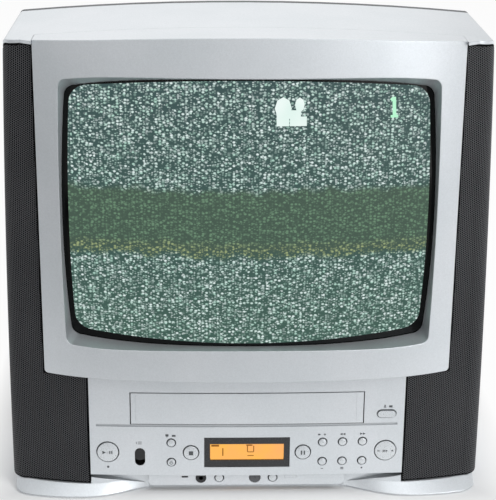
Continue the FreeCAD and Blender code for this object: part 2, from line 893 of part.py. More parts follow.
bezel_solid = shared(
    "bezel_solid",
    slab("bezel_face_solid", "XZ_Plane", (far_front, bezel_back), bezel_face(0)),
    slab("bezel_plan_solid", "XY_Plane",
         (bezel_bottom - 1, cabinet_height + crown_height + 1), bezel_plan(0, bezel_back)))
bezel_hollow = shared(
    "bezel_hollow",
    slab("bezel_face_hollow", "XZ_Plane", (far_front, bezel_back + 1), bezel_face(bezel_wall)),
    slab("bezel_plan_hollow", "XY_Plane",
         (bezel_bottom, cabinet_height + crown_height), bezel_plan(bezel_wall, bezel_back + 1)))
glass_room = ball(
    "glass_room", 0, glass_front + glass_radius, screen_centre, glass_radius + glass_gap)
bevel_wall = cut("bevel_wall", shared("bevel_trimmed", bevel("bevel_outer", bezel_wall), bezel_solid),
                 glass_room)


def at_lugs(name, make):
    """Four copies of a piece, one at each corner of the tube."""
    right_top = make(name + "_right_top", lug_across, screen_centre + lug_up)
    right_bottom = make(name + "_right_bottom", lug_across, screen_centre - lug_up)
    return [right_top, right_bottom, mirrored(name + "_left_top", right_top),
            mirrored(name + "_left_bottom", right_bottom)]


def tube_post(name, across, height):
    start = front - bezel_edge_reach
    return rod(name, "back", across, start, height, post_radius, lug_front - start)


def post_hole(name, across, height):
    start = lug_front - screw_radius * 5
    return rod(name, "back", across, start, height, screw_radius + screw_gap, screw_radius * 6)


node("screen_bezel", cut(
    "screen_bezel",
    fused("bezel_shell", cut("bezel_skin", bezel_solid, bezel_hollow), bevel_wall,
          *at_lugs("post", tube_post)),
    bevel("bevel_inner", 0), *at_lugs("post_hole", post_hole)))

# Picture tube: a domed face, a funnel and a neck, hollow inside
tube_run = slab("tube_run", "XZ_Plane", (far_front, skirt_back),
                barrel(tube_half_width, tube_half_height, tube_bulge, tube_corner))
dome = ball("dome", 0, glass_front + glass_radius, screen_centre, glass_radius)
small_end = neck_radius + 2
end_bulge = size("end_bulge", 0.3)


def funnel(name, grow):
    return lofted(name, "XZ_Plane", [
        (skirt_back, barrel(tube_half_width + grow, tube_half_height + grow, tube_bulge, tube_corner)),
        (funnel_back, barrel(small_end + grow, small_end + grow, end_bulge, neck_radius - 1)),
    ])


skirt_wall = size("skirt_wall", 8)
tube_solid = fused(
    "tube_solid", shared("face_solid", tube_run, dome), funnel("funnel_solid", 0),
    rod("neck", "back", 0, funnel_back - 2, screen_centre, neck_radius, neck_length + 2))
face_inside = shared(
    "face_inside",
    slab("skirt_inside", "XZ_Plane", (far_front, skirt_back),
         barrel(tube_half_width - skirt_wall, tube_half_height - skirt_wall, tube_bulge, tube_corner)),
    ball("dome_inside", 0, glass_front + glass_radius, screen_centre, glass_radius - glass_thickness))
funnel_inside = lofted("funnel_inside", "XZ_Plane", [
    (skirt_back, barrel(tube_half_width - skirt_wall, tube_half_height - skirt_wall,
                        tube_bulge, tube_corner)),
    (funnel_back, barrel(small_end - funnel_wall, small_end - funnel_wall, end_bulge,
                         neck_radius - funnel_wall)),
])
neck_inside = rod("neck_inside", "back", 0, funnel_back - 1, screen_centre,
                  neck_radius - funnel_wall / 2, neck_length + 2)
node("picture_tube", cut(
    "picture_tube", tube_solid, fused("tube_inside", face_inside, funnel_inside, neck_inside)))

# Rim band: a steel strap round the skirt with a lug at each corner


def lug(name, across, height):
    low = height - lug_half * 3 if height.value > screen_centre.value else height - lug_half
    return block(name, (across - lug_half * 3, across + lug_half),
                 (lug_front, lug_front + lug_thickness), (low, low + lug_half * 4))


def lug_hole(name, across, height):
    return rod(name, "back", across, lug_front - 1, height, screw_radius + screw_gap,
               lug_thickness + 2)


band_outer = slab("band_outer", "XZ_Plane", (lug_front, lug_front + band_depth), barrel(
    tube_half_width + band_gap + band_thickness, tube_half_height + band_gap + band_thickness,
    tube_bulge, tube_corner + band_gap + band_thickness))
band_inner = slab("band_inner", "XZ_Plane", (lug_front - 1, lug_front + band_depth + 1), barrel(
    tube_half_width + band_gap, tube_half_height + band_gap, tube_bulge, tube_corner + band_gap))
node("rim_band", cut(
    "rim_band", fused("band_solid", band_outer, *at_lugs("lug", lug)), band_inner,
    *at_lugs("lug_hole", lug_hole)))


def tube_screw(name, across, height):
    head = rod(name + "_head", "back", across, lug_front + lug_thickness, height,
               screw_radius * 2, screw_radius)
    start = lug_front - screw_radius * 4
    shank = rod(name + "_shank", "back", across, start, height, screw_radius,
                lug_front + lug_thickness - start)
    return fused(name, head, shank)


node("tube_screws", grouped("tube_screws", *at_lugs("tube_screw", tube_screw)))

# Degaussing coil round the skirt, just behind the rim band
coil_width = size("coil_width", 8)
coil_start = lug_front + band_depth + part_gap
coil_outer = slab("coil_outer", "XZ_Plane", (coil_start, coil_start + coil_width), barrel(
    tube_half_width + part_gap + coil_width, tube_half_height + part_gap + coil_width,
    tube_bulge, tube_corner + part_gap + coil_width))
coil_inner = slab("coil_inner", "XZ_Plane", (coil_start - 1, coil_start + coil_width + 1), barrel(
    tube_half_width + part_gap, tube_half_height + part_gap, tube_bulge, tube_corner + part_gap))
node("degauss_coil", cut("degauss_coil", coil_outer, coil_inner))

# Deflection yoke where the funnel meets the neck
yoke_front_radius = size("yoke_front_radius", 56)
yoke_back_radius = size("yoke_back_radius", 33)
yoke_lead = size("yoke_lead", 20)
yoke_length = size("yoke_length", 52)
yoke_flange = size("yoke_flange", 3)
yoke_start = funnel_back - yoke_lead
yoke_solid = fused(
    "yoke_solid",
    cone("yoke_cone", "back", 0, yoke_start, screen_centre,
         yoke_front_radius - yoke_flange, yoke_back_radius - yoke_flange, yoke_length),
    rod("yoke_front", "back", 0, yoke_start, screen_centre, yoke_front_radius, yoke_flange),
    rod("yoke_back", "back", 0, yoke_start + yoke_length - yoke_flange, screen_centre,
        yoke_back_radius, yoke_flange))
neck_room = rod("neck_room", "back", 0, funnel_back - 1, screen_centre,
                neck_radius + part_gap, neck_length)
node("deflection_yoke", cut("deflection_yoke", yoke_solid, funnel("funnel_room", 1), neck_room))

# Neck board with the tube's socket
neck_board_half = size("neck_board_half", 34)
socket_cap_radius = size("socket_cap_radius", 18)
socket_cap_length = size("socket_cap_length", 12)
neck_board_front = neck_back + part_gap
neck_board = block(
    "neck_plate", (-neck_board_half, neck_board_half),
    (neck_board_front, neck_board_front + board_thickness),
    (screen_centre - neck_board_half, screen_centre + neck_board_half))
socket_cap = rod("socket_cap", "back", 0, neck_board_front - socket_cap_length, screen_centre,
                 socket_cap_radius, socket_cap_length)
socket_room = rod("socket_room", "back", 0, neck_board_front - socket_cap_length - 1,
                  screen_centre, neck_radius + part_gap, socket_cap_length + 1)
node("neck_board", cut("neck_board", fused("neck_assembly", neck_board, socket_cap), socket_room))

# Anode cap on the slope of the funnel
cap_radius = size("cap_radius", 13)
cap_height = size("cap_height", 5)
cap_share = size("cap_share", 0.5)
slope_fall = tube_half_height + tube_bulge - small_end - end_bulge
turns["slope"] = FreeCAD.Rotation(
    vector(1, 0, 0), -math.degrees(math.atan2(slope_fall.value, funnel_depth.value)))
node("anode_cap", turned(
    "anode_cap", "slope", 0, skirt_back + funnel_depth * cap_share,
    screen_centre + tube_half_height + tube_bulge - slope_fall * cap_share + part_gap, [
        (0, 0),
        (cap_radius, 0),
        (cap_radius * 0.7, cap_height),
        (0, cap_height),
    ]))


# Control fascia: a bowed plate under the screen, with side returns and a bottom lip


def bowed(inset, half):
    """Front arc of the fascia as two points, drawn in from its face by inset."""
    return [
        (-half, on_fascia(half) + inset, fascia_radius - inset),
        (half, on_fascia(half) + inset),
    ]


fascia_top = bezel_bottom - part_gap
inner_half = fascia_half - fascia_thickness
fascia_plate = slab("fascia_plate", "XY_Plane", (fascia_bottom, fascia_top), [
    *bowed(0, fascia_half),
    (fascia_half, baffle_back),
    (inner_half, baffle_back),
    (inner_half, on_fascia(inner_half) + fascia_thickness, fascia_thickness - fascia_radius),
    (-inner_half, on_fascia(inner_half) + fascia_thickness),
    (-inner_half, baffle_back),
    (-fascia_half, baffle_back),
])
fascia_lip_back = front - fascia_reach + fascia_thickness + fascia_lip
fascia_floor = slab(
    "fascia_floor", "XY_Plane", (fascia_bottom, fascia_bottom + fascia_thickness),
    [*bowed(0, fascia_half), (fascia_half, fascia_lip_back), (-fascia_half, fascia_lip_back)])

door_top = door_bottom + door_height
hinge_height = door_top + hinge_rise
hinge_depth = front - hinge_reach
ear_start = door_half + door_gap + part_gap
ear_back = hinge_depth + hinge_boss_radius + part_gap
boss_radius = size("boss_radius", 3)
boss_across = size("boss_across", 119.5)
boss_margin = size("boss_margin", 5.5)
ear = block(
    "ear", (ear_start, ear_start + ear_thickness),
    (on_fascia(ear_start) + fascia_thickness - 1, ear_back),
    (hinge_height - hinge_boss_radius * 2, hinge_height + hinge_boss_radius + part_gap))
ear_hole = rod(
    "ear_hole", "right", ear_start - 1, hinge_depth, hinge_height,
    hinge_pin_radius + hinge_clearance, ear_thickness + 2)


def board_boss(name, height):
    start = on_fascia(boss_across) + fascia_thickness - 1
    return rod(name, "back", boss_across, start, height, boss_radius, board_front - start)


low_boss = board_boss("low_boss", board_bottom + boss_margin)
high_boss = board_boss("high_boss", board_top - boss_margin)

rows = (control_row + row_offset, control_row - row_offset)
columns = tuple(column_start + column_pitch * number for number in range(3))
push_buttons = [
    ("play_button", -outer_control_across, control_row, large_button_radius),
    ("stop_button", -middle_control_across, control_row, medium_button_radius),
    ("pause_button", middle_control_across, control_row, medium_button_radius),
    ("source_button", -column_start, rows[0], small_button_radius),
    ("power_button", -column_start, rows[1], small_button_radius),
    ("volume_up_button", columns[0], rows[0], small_button_radius),
    ("rewind_button", columns[1], rows[0], small_button_radius),
    ("forward_button", columns[2], rows[0], small_button_radius),
    ("volume_down_button", columns[0], rows[1], small_button_radius),
    ("menu_button", columns[1], rows[1], small_button_radius),
    ("memory_button", columns[2], rows[1], small_button_radius),
]


def fascia_hole(name, across, height, radius):
    return rod(name + "_hole", "back", across, far_front, height, radius + ring_gap,
               fascia_lip_back - far_front)


def fascia_slot(name, across, height, half_width, half_height):
    return slab(name, "XZ_Plane", (far_front, fascia_lip_back),
                stadium(across, height, half_width, half_height))


button_holes = [fascia_hole(*entry) for entry in push_buttons]
rocker_hole = fascia_hole("rocker", outer_control_across, control_row, large_button_radius)
slide_slot = fascia_slot(
    "slide_slot", -slide_across, slide_height, slide_half_width, slide_half_height)
eject_slot = fascia_slot(
    "eject_slot", eject_across, eject_height,
    eject_half_width + ring_gap, eject_half_height + ring_gap)
door_opening = block(
    "door_opening", (-door_half - door_gap, door_half + door_gap),
    (far_front, fascia_lip_back), (door_bottom - door_gap, door_top + door_gap))
display_opening = block(
    "display_opening", (-display_half_width - part_gap, display_half_width + part_gap),
    (far_front, fascia_lip_back),
    (control_row - display_half_height - part_gap, control_row + display_half_height + part_gap))
groove = slab(
    "groove", "XY_Plane",
    (groove_height - groove_width / 2, groove_height + groove_width / 2),
    [(-groove_half, far_front), (groove_half, far_front),
     (groove_half, on_fascia(groove_half) + groove_depth, groove_depth - fascia_radius),
     (-groove_half, on_fascia(groove_half) + groove_depth)])
fascia_shell = cut(
    "fascia_shell", fused("fascia_solid", fascia_plate, fascia_floor), door_opening,
    display_opening, groove, slide_slot, eject_slot, rocker_hole, *button_holes)
node("control_fascia", cut(
    "control_fascia",
    fused("fascia_assembly", fascia_shell, ear, mirrored("left_ear", ear), low_boss, high_boss,
          mirrored("left_low_boss", low_boss), mirrored("left_high_boss", high_boss)),
    ear_hole, mirrored("left_ear_hole", ear_hole)))

# Push buttons: a domed cap in front, a flange behind the fascia and a stem to the switch
cap_dome = size("cap_dome", 0.6)
cap_edge = button_proud - cap_dome
stem_end = board_front - switch_height - button_travel - part_gap


def button_profile(stem, flange, cap, flange_back, flange_front, edge, dome):
    """Half section of a button; heights run from the stem's end to the face."""
    return [
        (0, 0),
        (stem, 0),
        (stem, flange_back),
        (flange, flange_back),
        (flange, flange_front),
        (cap, flange_front),
        (cap, edge, arc_radius(cap, dome)),
        (0, edge + dome),
    ]


def push_button(name, across, height, radius):
    face = on_fascia(across)
    flange_front = stem_end - face - fascia_thickness - flange_gap
    return turned(name, "front", across, stem_end, height, button_profile(
        stem_radius, radius + ring_gap + flange_overlap, radius,
        flange_front - flange_thickness, flange_front, stem_end - face + cap_edge, cap_dome))


for entry in push_buttons:
    node(entry[0], push_button(*entry))

eject_face = on_fascia(eject_across)
eject_front = slab(
    "eject_front", "XZ_Plane",
    (eject_face - button_proud, eject_face + fascia_thickness + flange_gap),
    stadium(eject_across, eject_height, eject_half_width, eject_half_height))
eject_flange = slab(
    "eject_flange", "XZ_Plane",
    (eject_face + fascia_thickness + flange_gap,
     eject_face + fascia_thickness + flange_gap + flange_thickness),
    stadium(eject_across, eject_height, eject_half_width + ring_gap + flange_overlap,
            eject_half_height + ring_gap + flange_overlap))
eject_stem_start = eject_face + fascia_thickness + flange_gap
eject_stem = rod(
    "eject_stem", "back", eject_across, eject_stem_start, eject_height, stem_radius,
    stem_end - eject_stem_start)
node("eject_button", fused("eject_button", eject_front, eject_flange, eject_stem))

# Rocker disc: it tips left and right about an upright pin behind the fascia
rocker_face = on_fascia(outer_control_across)
rocker_pivot = board_front - rocker_pivot_reach
rocker_flange_front = rocker_face + fascia_thickness + rocker_tilt_room
rocker_flange_back = rocker_flange_front + flange_thickness
cheek_gap = size("cheek_gap", 0.4)
cheek_thickness = size("cheek_thickness", 1.6)
rocker_disc = turned(
    "rocker_turned", "front", outer_control_across, rocker_pivot, control_row, button_profile(
        stem_radius, large_button_radius + ring_gap + flange_overlap / 2, large_button_radius,
        rocker_pivot - rocker_flange_back, rocker_pivot - rocker_flange_front,
        rocker_pivot - rocker_face + cap_edge, cap_dome))
pin_reach = stem_radius + cheek_gap + cheek_thickness
rocker_pin = rod(
    "rocker_pin", "up", outer_control_across, rocker_pivot, control_row - pin_reach,
    rocker_pin_radius, pin_reach * 2)
node("rocker_disc", fused("rocker_disc", rocker_disc, rocker_pin))

# Slide switch: a knob that runs down its slot and stays where it is put
slide_face = on_fascia(slide_across)
slide_gap = size("slide_gap", 0.4)
slide_proud = size("slide_proud", 0.6)
knob_half_width = slide_half_width - slide_gap
knob_half_height = slide_half_height - slide_travel / 2 - slide_gap
knob_height = slide_height + slide_travel / 2
slide_plate_margin = size("slide_plate_margin", 1.4)
slide_back = slide_face + fascia_thickness + flange_gap
slide_knob = slab(
    "slide_knob", "XZ_Plane", (slide_face - slide_proud, slide_back),
    stadium(-slide_across, knob_height, knob_half_width, knob_half_height))
slide_plate = block(
    "slide_plate",
    (-slide_across - knob_half_width - slide_plate_margin,
     knob_half_width + slide_plate_margin - slide_across),
    (slide_back, slide_back + flange_thickness),
    (knob_height - knob_half_height - slide_plate_margin,
     knob_height + knob_half_height + slide_plate_margin))
slide_stem = rod(
    "slide_stem", "back", -slide_across, slide_back, knob_height, stem_radius,
    board_front - switch_height - part_gap - slide_back)
node("slide_switch", fused("slide_switch", slide_knob, slide_plate, slide_stem))

# Control board behind the fascia, with a switch behind each button
riser_inner = size("riser_inner", 108)
riser_top = size("riser_top", 80)
board_back = board_front + board_thickness
board_parts = [
    block("board_plate", (-board_half, board_half), (board_front, board_back),
          (board_bottom, board_top)),
    block("board_tab", (-board_tab_half, board_tab_half), (board_front, board_back),
          (board_tab_bottom, board_bottom)),
    block("board_riser", (riser_inner, board_half), (board_front, board_back),
          (board_top, riser_top)),
]


def switch_body(name, across, height, half_width, half_height, reach):
    return block(name, (across - half_width, across + half_width), (board_front - reach, board_front),
                 (height - half_height, height + half_height))


for name, across, height, radius in push_buttons:
    board_parts.append(switch_body(
        name + "_switch", across, height, switch_half, switch_half, switch_height))
board_parts.append(switch_body(
    "eject_switch", eject_across, eject_height, switch_half, switch_half, switch_height))
board_parts.append(switch_body(
    "slide_body", -slide_across, slide_height, slide_half_width, slide_half_height, switch_height))
rocker_switch_reach = board_front - rocker_flange_back - rocker_press_room
for side in (-1, 1):
    board_parts.append(switch_body(
        "rocker_switch_" + str(side + 1), outer_control_across + side * rocker_switch_spread,
        control_row, switch_half / 2, switch_half, rocker_switch_reach))
    board_parts.append(switch_body(
        "cheek_" + str(side + 1), outer_control_across,
        control_row + side * (stem_radius + cheek_gap + cheek_thickness / 2), stem_radius,
        cheek_thickness / 2, rocker_pivot_reach + rocker_pin_radius * 2))
strip_switch_height = size("strip_switch_height", 1.5)
for name, across in (("left", -left_strip_button), ("right", right_strip_button)):
    board_parts.append(switch_body(
        name + "_strip_switch", across, strip_row, switch_half, switch_half, strip_switch_height))
cheek_hole = rod(
    "cheek_hole", "up", outer_control_across, rocker_pivot, control_row - pin_reach - 1,
    rocker_pin_radius + shaft_clearance, pin_reach * 2 + 2)
jack_room = size("jack_room", 0.3)
board_jack_hole = rod(
    "board_jack_hole", "back", -jack_across, board_front - 1, strip_row,
    jack_barrel + jack_room, board_thickness + 2)
node("control_board", cut(
    "control_board", fused("board_assembly", *board_parts), cheek_hole, board_jack_hole))

# Display: a frame in the fascia and a lit panel behind it
frame_front = front - fascia_reach + size("display_recess", 0.5)
frame_back = frame_front + display_depth
frame_margin = size("frame_margin", 2)
frame_flange_front = on_fascia(display_half_width + frame_margin) + fascia_thickness + part_gap / 3
frame_body = block(
    "frame_body", (-display_half_width, display_half_width), (frame_front, frame_back),
    (control_row - display_half_height, control_row + display_half_height))
frame_flange = block(
    "frame_flange", (-display_half_width - frame_margin, display_half_width + frame_margin),
    (frame_flange_front, frame_back),
    (control_row - display_half_height - frame_margin,
     control_row + display_half_height + frame_margin))
display_window = block(
    "display_window", (-window_half_width, window_half_width), (frame_front - 1, frame_back + 1),
    (control_row - window_half_height, control_row + window_half_height))
node("display_frame", cut(
    "display_frame", fused("frame_solid", frame_body, frame_flange), display_window))
panel_front = frame_front + size("panel_recess", 1.2)
node("display_panel", fused(
    "display_panel",
    block("panel_module",
          (-window_half_width - panel_overlap, window_half_width + panel_overlap),
          (frame_back, board_front),
          (control_row - window_half_height - panel_overlap,
           control_row + window_half_height + panel_overlap)),
    block("panel_glass", (part_gap - window_half_width, window_half_width - part_gap),
          (panel_front, frame_back + 1),
          (control_row - window_half_height + part_gap,
           control_row + window_half_height - part_gap))))

# Strip under the fascia: jack, two buttons, remote sensor and a slot
strip_back = strip_front + strip_thickness
strip_top = fascia_bottom - part_gap
strip_plate = slab("strip_plate", "XZ_Plane", (strip_front, strip_back), [
    (-strip_half + strip_corner, strip_bottom),
    (strip_half - strip_corner, strip_bottom, strip_corner),
    (strip_half, strip_bottom + strip_corner),
    (strip_half, strip_top),
    (-strip_half, strip_top),
    (-strip_half, strip_bottom + strip_corner, strip_corner),
])
tab_across = size("tab_across", 37)
tab_half_width = size("tab_half_width", 5)
tab_half_height = size("tab_half_height", 1.5)
tab_proud = size("tab_proud", 0.5)
strip_tab = block(
    "strip_tab", (tab_across - tab_half_width, tab_across + tab_half_width),
    (strip_front - tab_proud, strip_front),
    (strip_row - tab_half_height + 1, strip_row + tab_half_height + 1))


def strip_hole(name, across, radius):
    return rod(name, "back", across, strip_front - 1, strip_row, radius, strip_thickness + 2)


strip_slot = block(
    "strip_slot", (-slot_across - slot_half_width, slot_half_width - slot_across),
    (strip_front - 1, strip_back + 1),
    (strip_row - slot_half_height + 1, strip_row + slot_half_height + 1))
node("jack_strip", cut(
    "jack_strip", fused("strip_solid", strip_plate, strip_tab), strip_slot,
    strip_hole("left_button_hole", -left_strip_button, strip_button_radius + ring_gap),
    strip_hole("right_button_hole", right_strip_button, strip_button_radius + ring_gap),
    strip_hole("sensor_hole", sensor_across, sensor_radius + part_gap),
    strip_hole("jack_hole", -jack_across, jack_barrel + jack_room)))

strip_flange_gap = size("strip_flange_gap", 0.4)
strip_flange = size("strip_flange", 0.8)
strip_stem_end = board_front - strip_switch_height - button_travel - part_gap


def strip_button(name, across):
    flange_front = strip_stem_end - strip_back - strip_flange_gap
    return turned(name, "front", across, strip_stem_end, strip_row, button_profile(
        stem_radius, strip_button_radius + ring_gap + flange_overlap, strip_button_radius,
        flange_front - strip_flange, flange_front,
        strip_stem_end - strip_front + cap_edge, cap_dome))


node("tracking_button", strip_button("tracking_button", -left_strip_button))
node("timer_button", strip_button("timer_button", right_strip_button))

sensor_flange = size("sensor_flange", 1)
sensor_proud = size("sensor_proud", 0.3)
node("remote_sensor", turned(
    "remote_sensor", "front", sensor_across, board_front, strip_row, button_profile(
        sensor_radius / 2, sensor_radius + sensor_flange, sensor_radius,
        board_front - strip_back - part_gap - sensor_flange, board_front - strip_back - part_gap,
        board_front - strip_front + sensor_proud - cap_dome / 2, cap_dome / 2)))

nut_height = size("nut_height", 0.8)
jack_wall = size("jack_wall", 1.5)
node("headphone_jack", turned(
    "headphone_jack", "back", -jack_across, strip_front - nut_height, strip_row, [
        (jack_bore, 0),
        (jack_radius, 0),
        (jack_radius, nut_height),
        (jack_barrel, nut_height),
        (jack_barrel, nut_height + jack_length),
        (0, nut_height + jack_length),
        (0, nut_height + jack_length - jack_wall),
        (jack_bore, nut_height + jack_length - jack_wall),
    ]))

# Cassette door: a bowed flap with two arms that reach back and up to its hinge pins
door_plate = slab("door_plate", "XY_Plane", (door_bottom, door_top), [
    *bowed(0, door_half),
    (door_half, on_fascia(door_half) + door_thickness, door_thickness - fascia_radius),
    (-door_half, on_fascia(door_half) + door_thickness),
])
arm_thickness = size("arm_thickness", 2)
arm_root = size("arm_root", 8)
arm_gap = size("arm_gap", 0.3)
arm_face = on_fascia(door_half) + door_thickness
arm_clear = on_fascia(door_half) + fascia_thickness + arm_gap
arm_body = doc.addObject("PartDesign::Body", "arm")
arm_sketch = new_sketch(arm_body, "YZ_Plane", "arm_outline", door_half - arm_thickness)
draw(arm_sketch, [
    (arm_face - 1, door_top - arm_root),
    (arm_face + arm_gap, door_top - arm_root),
    (hinge_depth + hinge_boss_radius, hinge_height),
    (hinge_depth, hinge_height + hinge_boss_radius),
    (arm_clear, hinge_height),
    (arm_clear, door_top),
    (arm_face - 1, door_top),
])
arm_pad = arm_body.newObject("PartDesign::Pad", "arm_pad")
arm_pad.Profile = arm_sketch
tie(arm_pad, "Length", arm_thickness)
pin_end = size("pin_end", 0.5)
long_pin = rod(
    "long_pin", "right", door_half - arm_thickness, hinge_depth, hinge_height, hinge_pin_radius,
    arm_thickness + door_gap + part_gap + ear_thickness + part_gap + spring_length + pin_end)
short_pin = rod(
    "short_pin", "right", -ear_start - ear_thickness - pin_end, hinge_depth, hinge_height,
    hinge_pin_radius, ear_thickness + pin_end + door_gap + part_gap + arm_thickness)
node("cassette_door", fused(
    "cassette_door", door_plate, arm_body, mirrored("left_arm", arm_body), long_pin, short_pin))

spring_room = size("spring_room", 0.3)
spring_start = ear_start + ear_thickness + part_gap
spring_outer = rod(
    "spring_outer", "right", spring_start, hinge_depth, hinge_height,
    hinge_pin_radius + spring_room + spring_wire, spring_length)
spring_inner = rod(
    "spring_inner", "right", spring_start - 1, hinge_depth, hinge_height,
    hinge_pin_radius + spring_room, spring_length + 2)
node("door_spring", cut("door_spring", spring_outer, spring_inner))

# Base: a floor plate, side skirts and two swelling feet at the front corners
cover_wall = size("cover_wall", 2.6)
cover_inset = cover_wall + part_gap
plinth_half = half_base - cover_inset
floor_plate = slab("floor_plate", "XY_Plane", (foot_height, floor_top), [
    (pod_side_reach - plinth_half, front - plinth_front_reach),
    (plinth_half - pod_side_reach, front - plinth_front_reach),
    (plinth_half, front),
    (plinth_half, joint + collar_depth),
    (shelf_half_back - cover_inset, rear - cover_inset),
    (cover_inset - shelf_half_back, rear - cover_inset),
    (-plinth_half, joint + collar_depth),
    (-plinth_half, front),
])
right_skirt = block(
    "right_skirt", (plinth_half - cabinet_wall, plinth_half), (front, joint), (foot_height, seam))


def pod_plan(inset, shoulder, apex, outer, side):
    """Plan of a foot from its reach at four places, drawn in by inset."""
    return [
        (pod_inner + inset, front - pod_inner_reach + inset / 2),
        (pod_shoulder + inset / 2, front - shoulder + inset, pod_shoulder_radius - inset),
        (pod_apex, front - apex + inset, pod_apex_radius - inset),
        (plinth_half - corner_radius, front - outer + inset, pod_outer_radius - inset),
        (plinth_half - inset, front - side),
        (plinth_half - inset, front + inset / 10),
        (pod_inner + inset, front + inset / 10),
    ]


def pod_body(name, inset, low):
    """A foot that slopes back from the floor to the seam, and stands upright above it."""
    sole = pod_plan(inset, pod_shoulder_reach, pod_apex_reach, pod_outer_reach, pod_side_reach)
    top = pod_plan(inset, pod_top_shoulder_reach, pod_top_apex_reach, pod_top_outer_reach,
                   pod_top_side_reach)
    return lofted(name, "XY_Plane", [(low, sole), (seam, top), (seam + pod_high_rise, top)])


def pod_face(inset, low):
    inner_edge = fascia_half - part_gap
    return [
        (pod_inner, low),
        (half_base, low),
        (half_base, seam - inset),
        (fascia_half, seam - inset),
        (inner_edge, foot_height + pod_high_rise - inset),
        (pod_inner, foot_height + pod_low_rise - inset),
    ]


right_pod = shared(
    "right_pod", pod_body("pod_plan_solid", 0, foot_height),
    slab("pod_face_solid", "XZ_Plane", (far_front, front + 1), pod_face(0, foot_height)))
pod_hollow = shared(
    "pod_hollow", pod_body("pod_plan_hollow", pod_wall, foot_height - 1),
    slab("pod_face_hollow", "XZ_Plane", (far_front, front + 1),
         pod_face(pod_wall, foot_height - 1)))
pod_shell = cut("pod_shell", right_pod, pod_hollow)
front_wall_thickness = size("front_wall_thickness", 2.6)
front_wall = block(
    "front_wall", (pod_inner, fascia_half - part_gap),
    (board_front, board_front + front_wall_thickness), (foot_height, fascia_bottom - part_gap))
anchor_boss = rod(
    "anchor_boss", "up", anchor_across, baffle_back + anchor_half, foot_height, anchor_half,
    plinth_height)
standoff_radius = size("standoff_radius", 4)
standoff_margin = size("standoff_margin", 10)
standoff_edge = size("standoff_edge", 8)
standoff_across = main_board_half - standoff_edge
main_board_rear = rear - main_board_back
main_board_front = main_board_rear - main_board_length


def standoff(name, depth):
    return rod(name, "up", standoff_across, depth, foot_height, standoff_radius,
               main_board_level - foot_height)


front_standoff = standoff("front_standoff", main_board_front + standoff_margin)
back_standoff = standoff("back_standoff", main_board_rear - standoff_margin)
upstand_inset = size("upstand_inset", 17)
upstand_half = size("upstand_half", 5)
upstand_across = shelf_half_back - upstand_inset
upstand_height = size("upstand_height", 18)
rear_screw_height = size("rear_screw_height", 14)
upstand = block(
    "upstand", (upstand_across - upstand_half, upstand_across + upstand_half),
    (rear - cover_inset - 2 * upstand_half, rear - cover_inset), (floor_top - 1, upstand_height + 5))
upstand_hole = rod(
    "upstand_hole", "back", upstand_across, rear - cover_inset - 2 * upstand_half - 1,
    rear_screw_height, case_screw_radius + screw_gap, 2 * upstand_half + 2)
head_radius = size("head_radius", 3.4)
head_height = size("head_height", 1.6)
anchor_head_room = rod(
    "anchor_head_room", "up", anchor_across, baffle_back + anchor_half, foot_height - 1,
    head_radius + part_gap, head_height + 1)
anchor_bore = rod(
    "anchor_bore", "up", anchor_across, baffle_back + anchor_half, foot_height,
    case_screw_radius + screw_gap, plinth_height + 1)
base_pieces = [right_skirt, pod_shell, front_wall, anchor_boss, front_standoff, back_standoff,
               upstand]
base_holes = [upstand_hole, anchor_head_room, anchor_bore]
base_pod_room = [cut("floor_room", pod_hollow, block(
    "floor_keep", (0, base_width), (front - plinth_front_reach, front + 1),
    (0, cabinet_height)))]
node("base_plinth", cut(
    "base_plinth",
    fused("base_solid", floor_plate, *base_pieces,
          *[mirrored("left_" + piece.Name, piece) for piece in base_pieces]),
    *base_holes, *[mirrored("left_" + hole.Name, hole) for hole in base_holes],
    *base_pod_room, *[mirrored("left_" + room.Name, room) for room in base_pod_room]))


foot_across = half_base - foot_inset


def foot(name, depth):
    return rod(name, "up", foot_across, depth, 0, foot_radius, foot_height)


front_foot = foot("front_foot", front + foot_front_distance)
back_foot = foot("back_foot", rear - foot_back_distance)
node("rubber_feet", grouped(
    "rubber_feet", front_foot, back_foot, mirrored("left_front_foot", front_foot),
    mirrored("left_back_foot", back_foot)))


# Rear cover: a short collar, a hump that tapers to the back and a wide low shelf


def hump_back(inset):
    return case_outline(hump_half_back - inset, hump_low_back + inset, hump_half_back - inset,
                        hump_high_back - inset, hump_crown_back, edge_radius)


def shelf_outline(half_low, low, half_high, high):
    return [(-half_low, low), (half_low, low), (half_high, high), (-half_high, high)]


def hump(name, start, inset, low, end):
    return lofted(name, "XZ_Plane", [
        (start, case_at(inset, low)),
        (joint + collar_depth, case_at(inset, low)),
        (end, hump_back(inset)),
    ])


def shelf(name, start, inset, low, end):
    low_half = side_at(low) - inset
    high_half = side_at(shelf_top) - inset
    back_half = shelf_half_back - inset
    return lofted(name, "XZ_Plane", [
        (start, shelf_outline(low_half, low, high_half, shelf_top - inset)),
        (joint + collar_depth, shelf_outline(low_half, low, high_half, shelf_top - inset)),
        (end, shelf_outline(back_half, low, back_half, shelf_top_back - inset)),
    ])


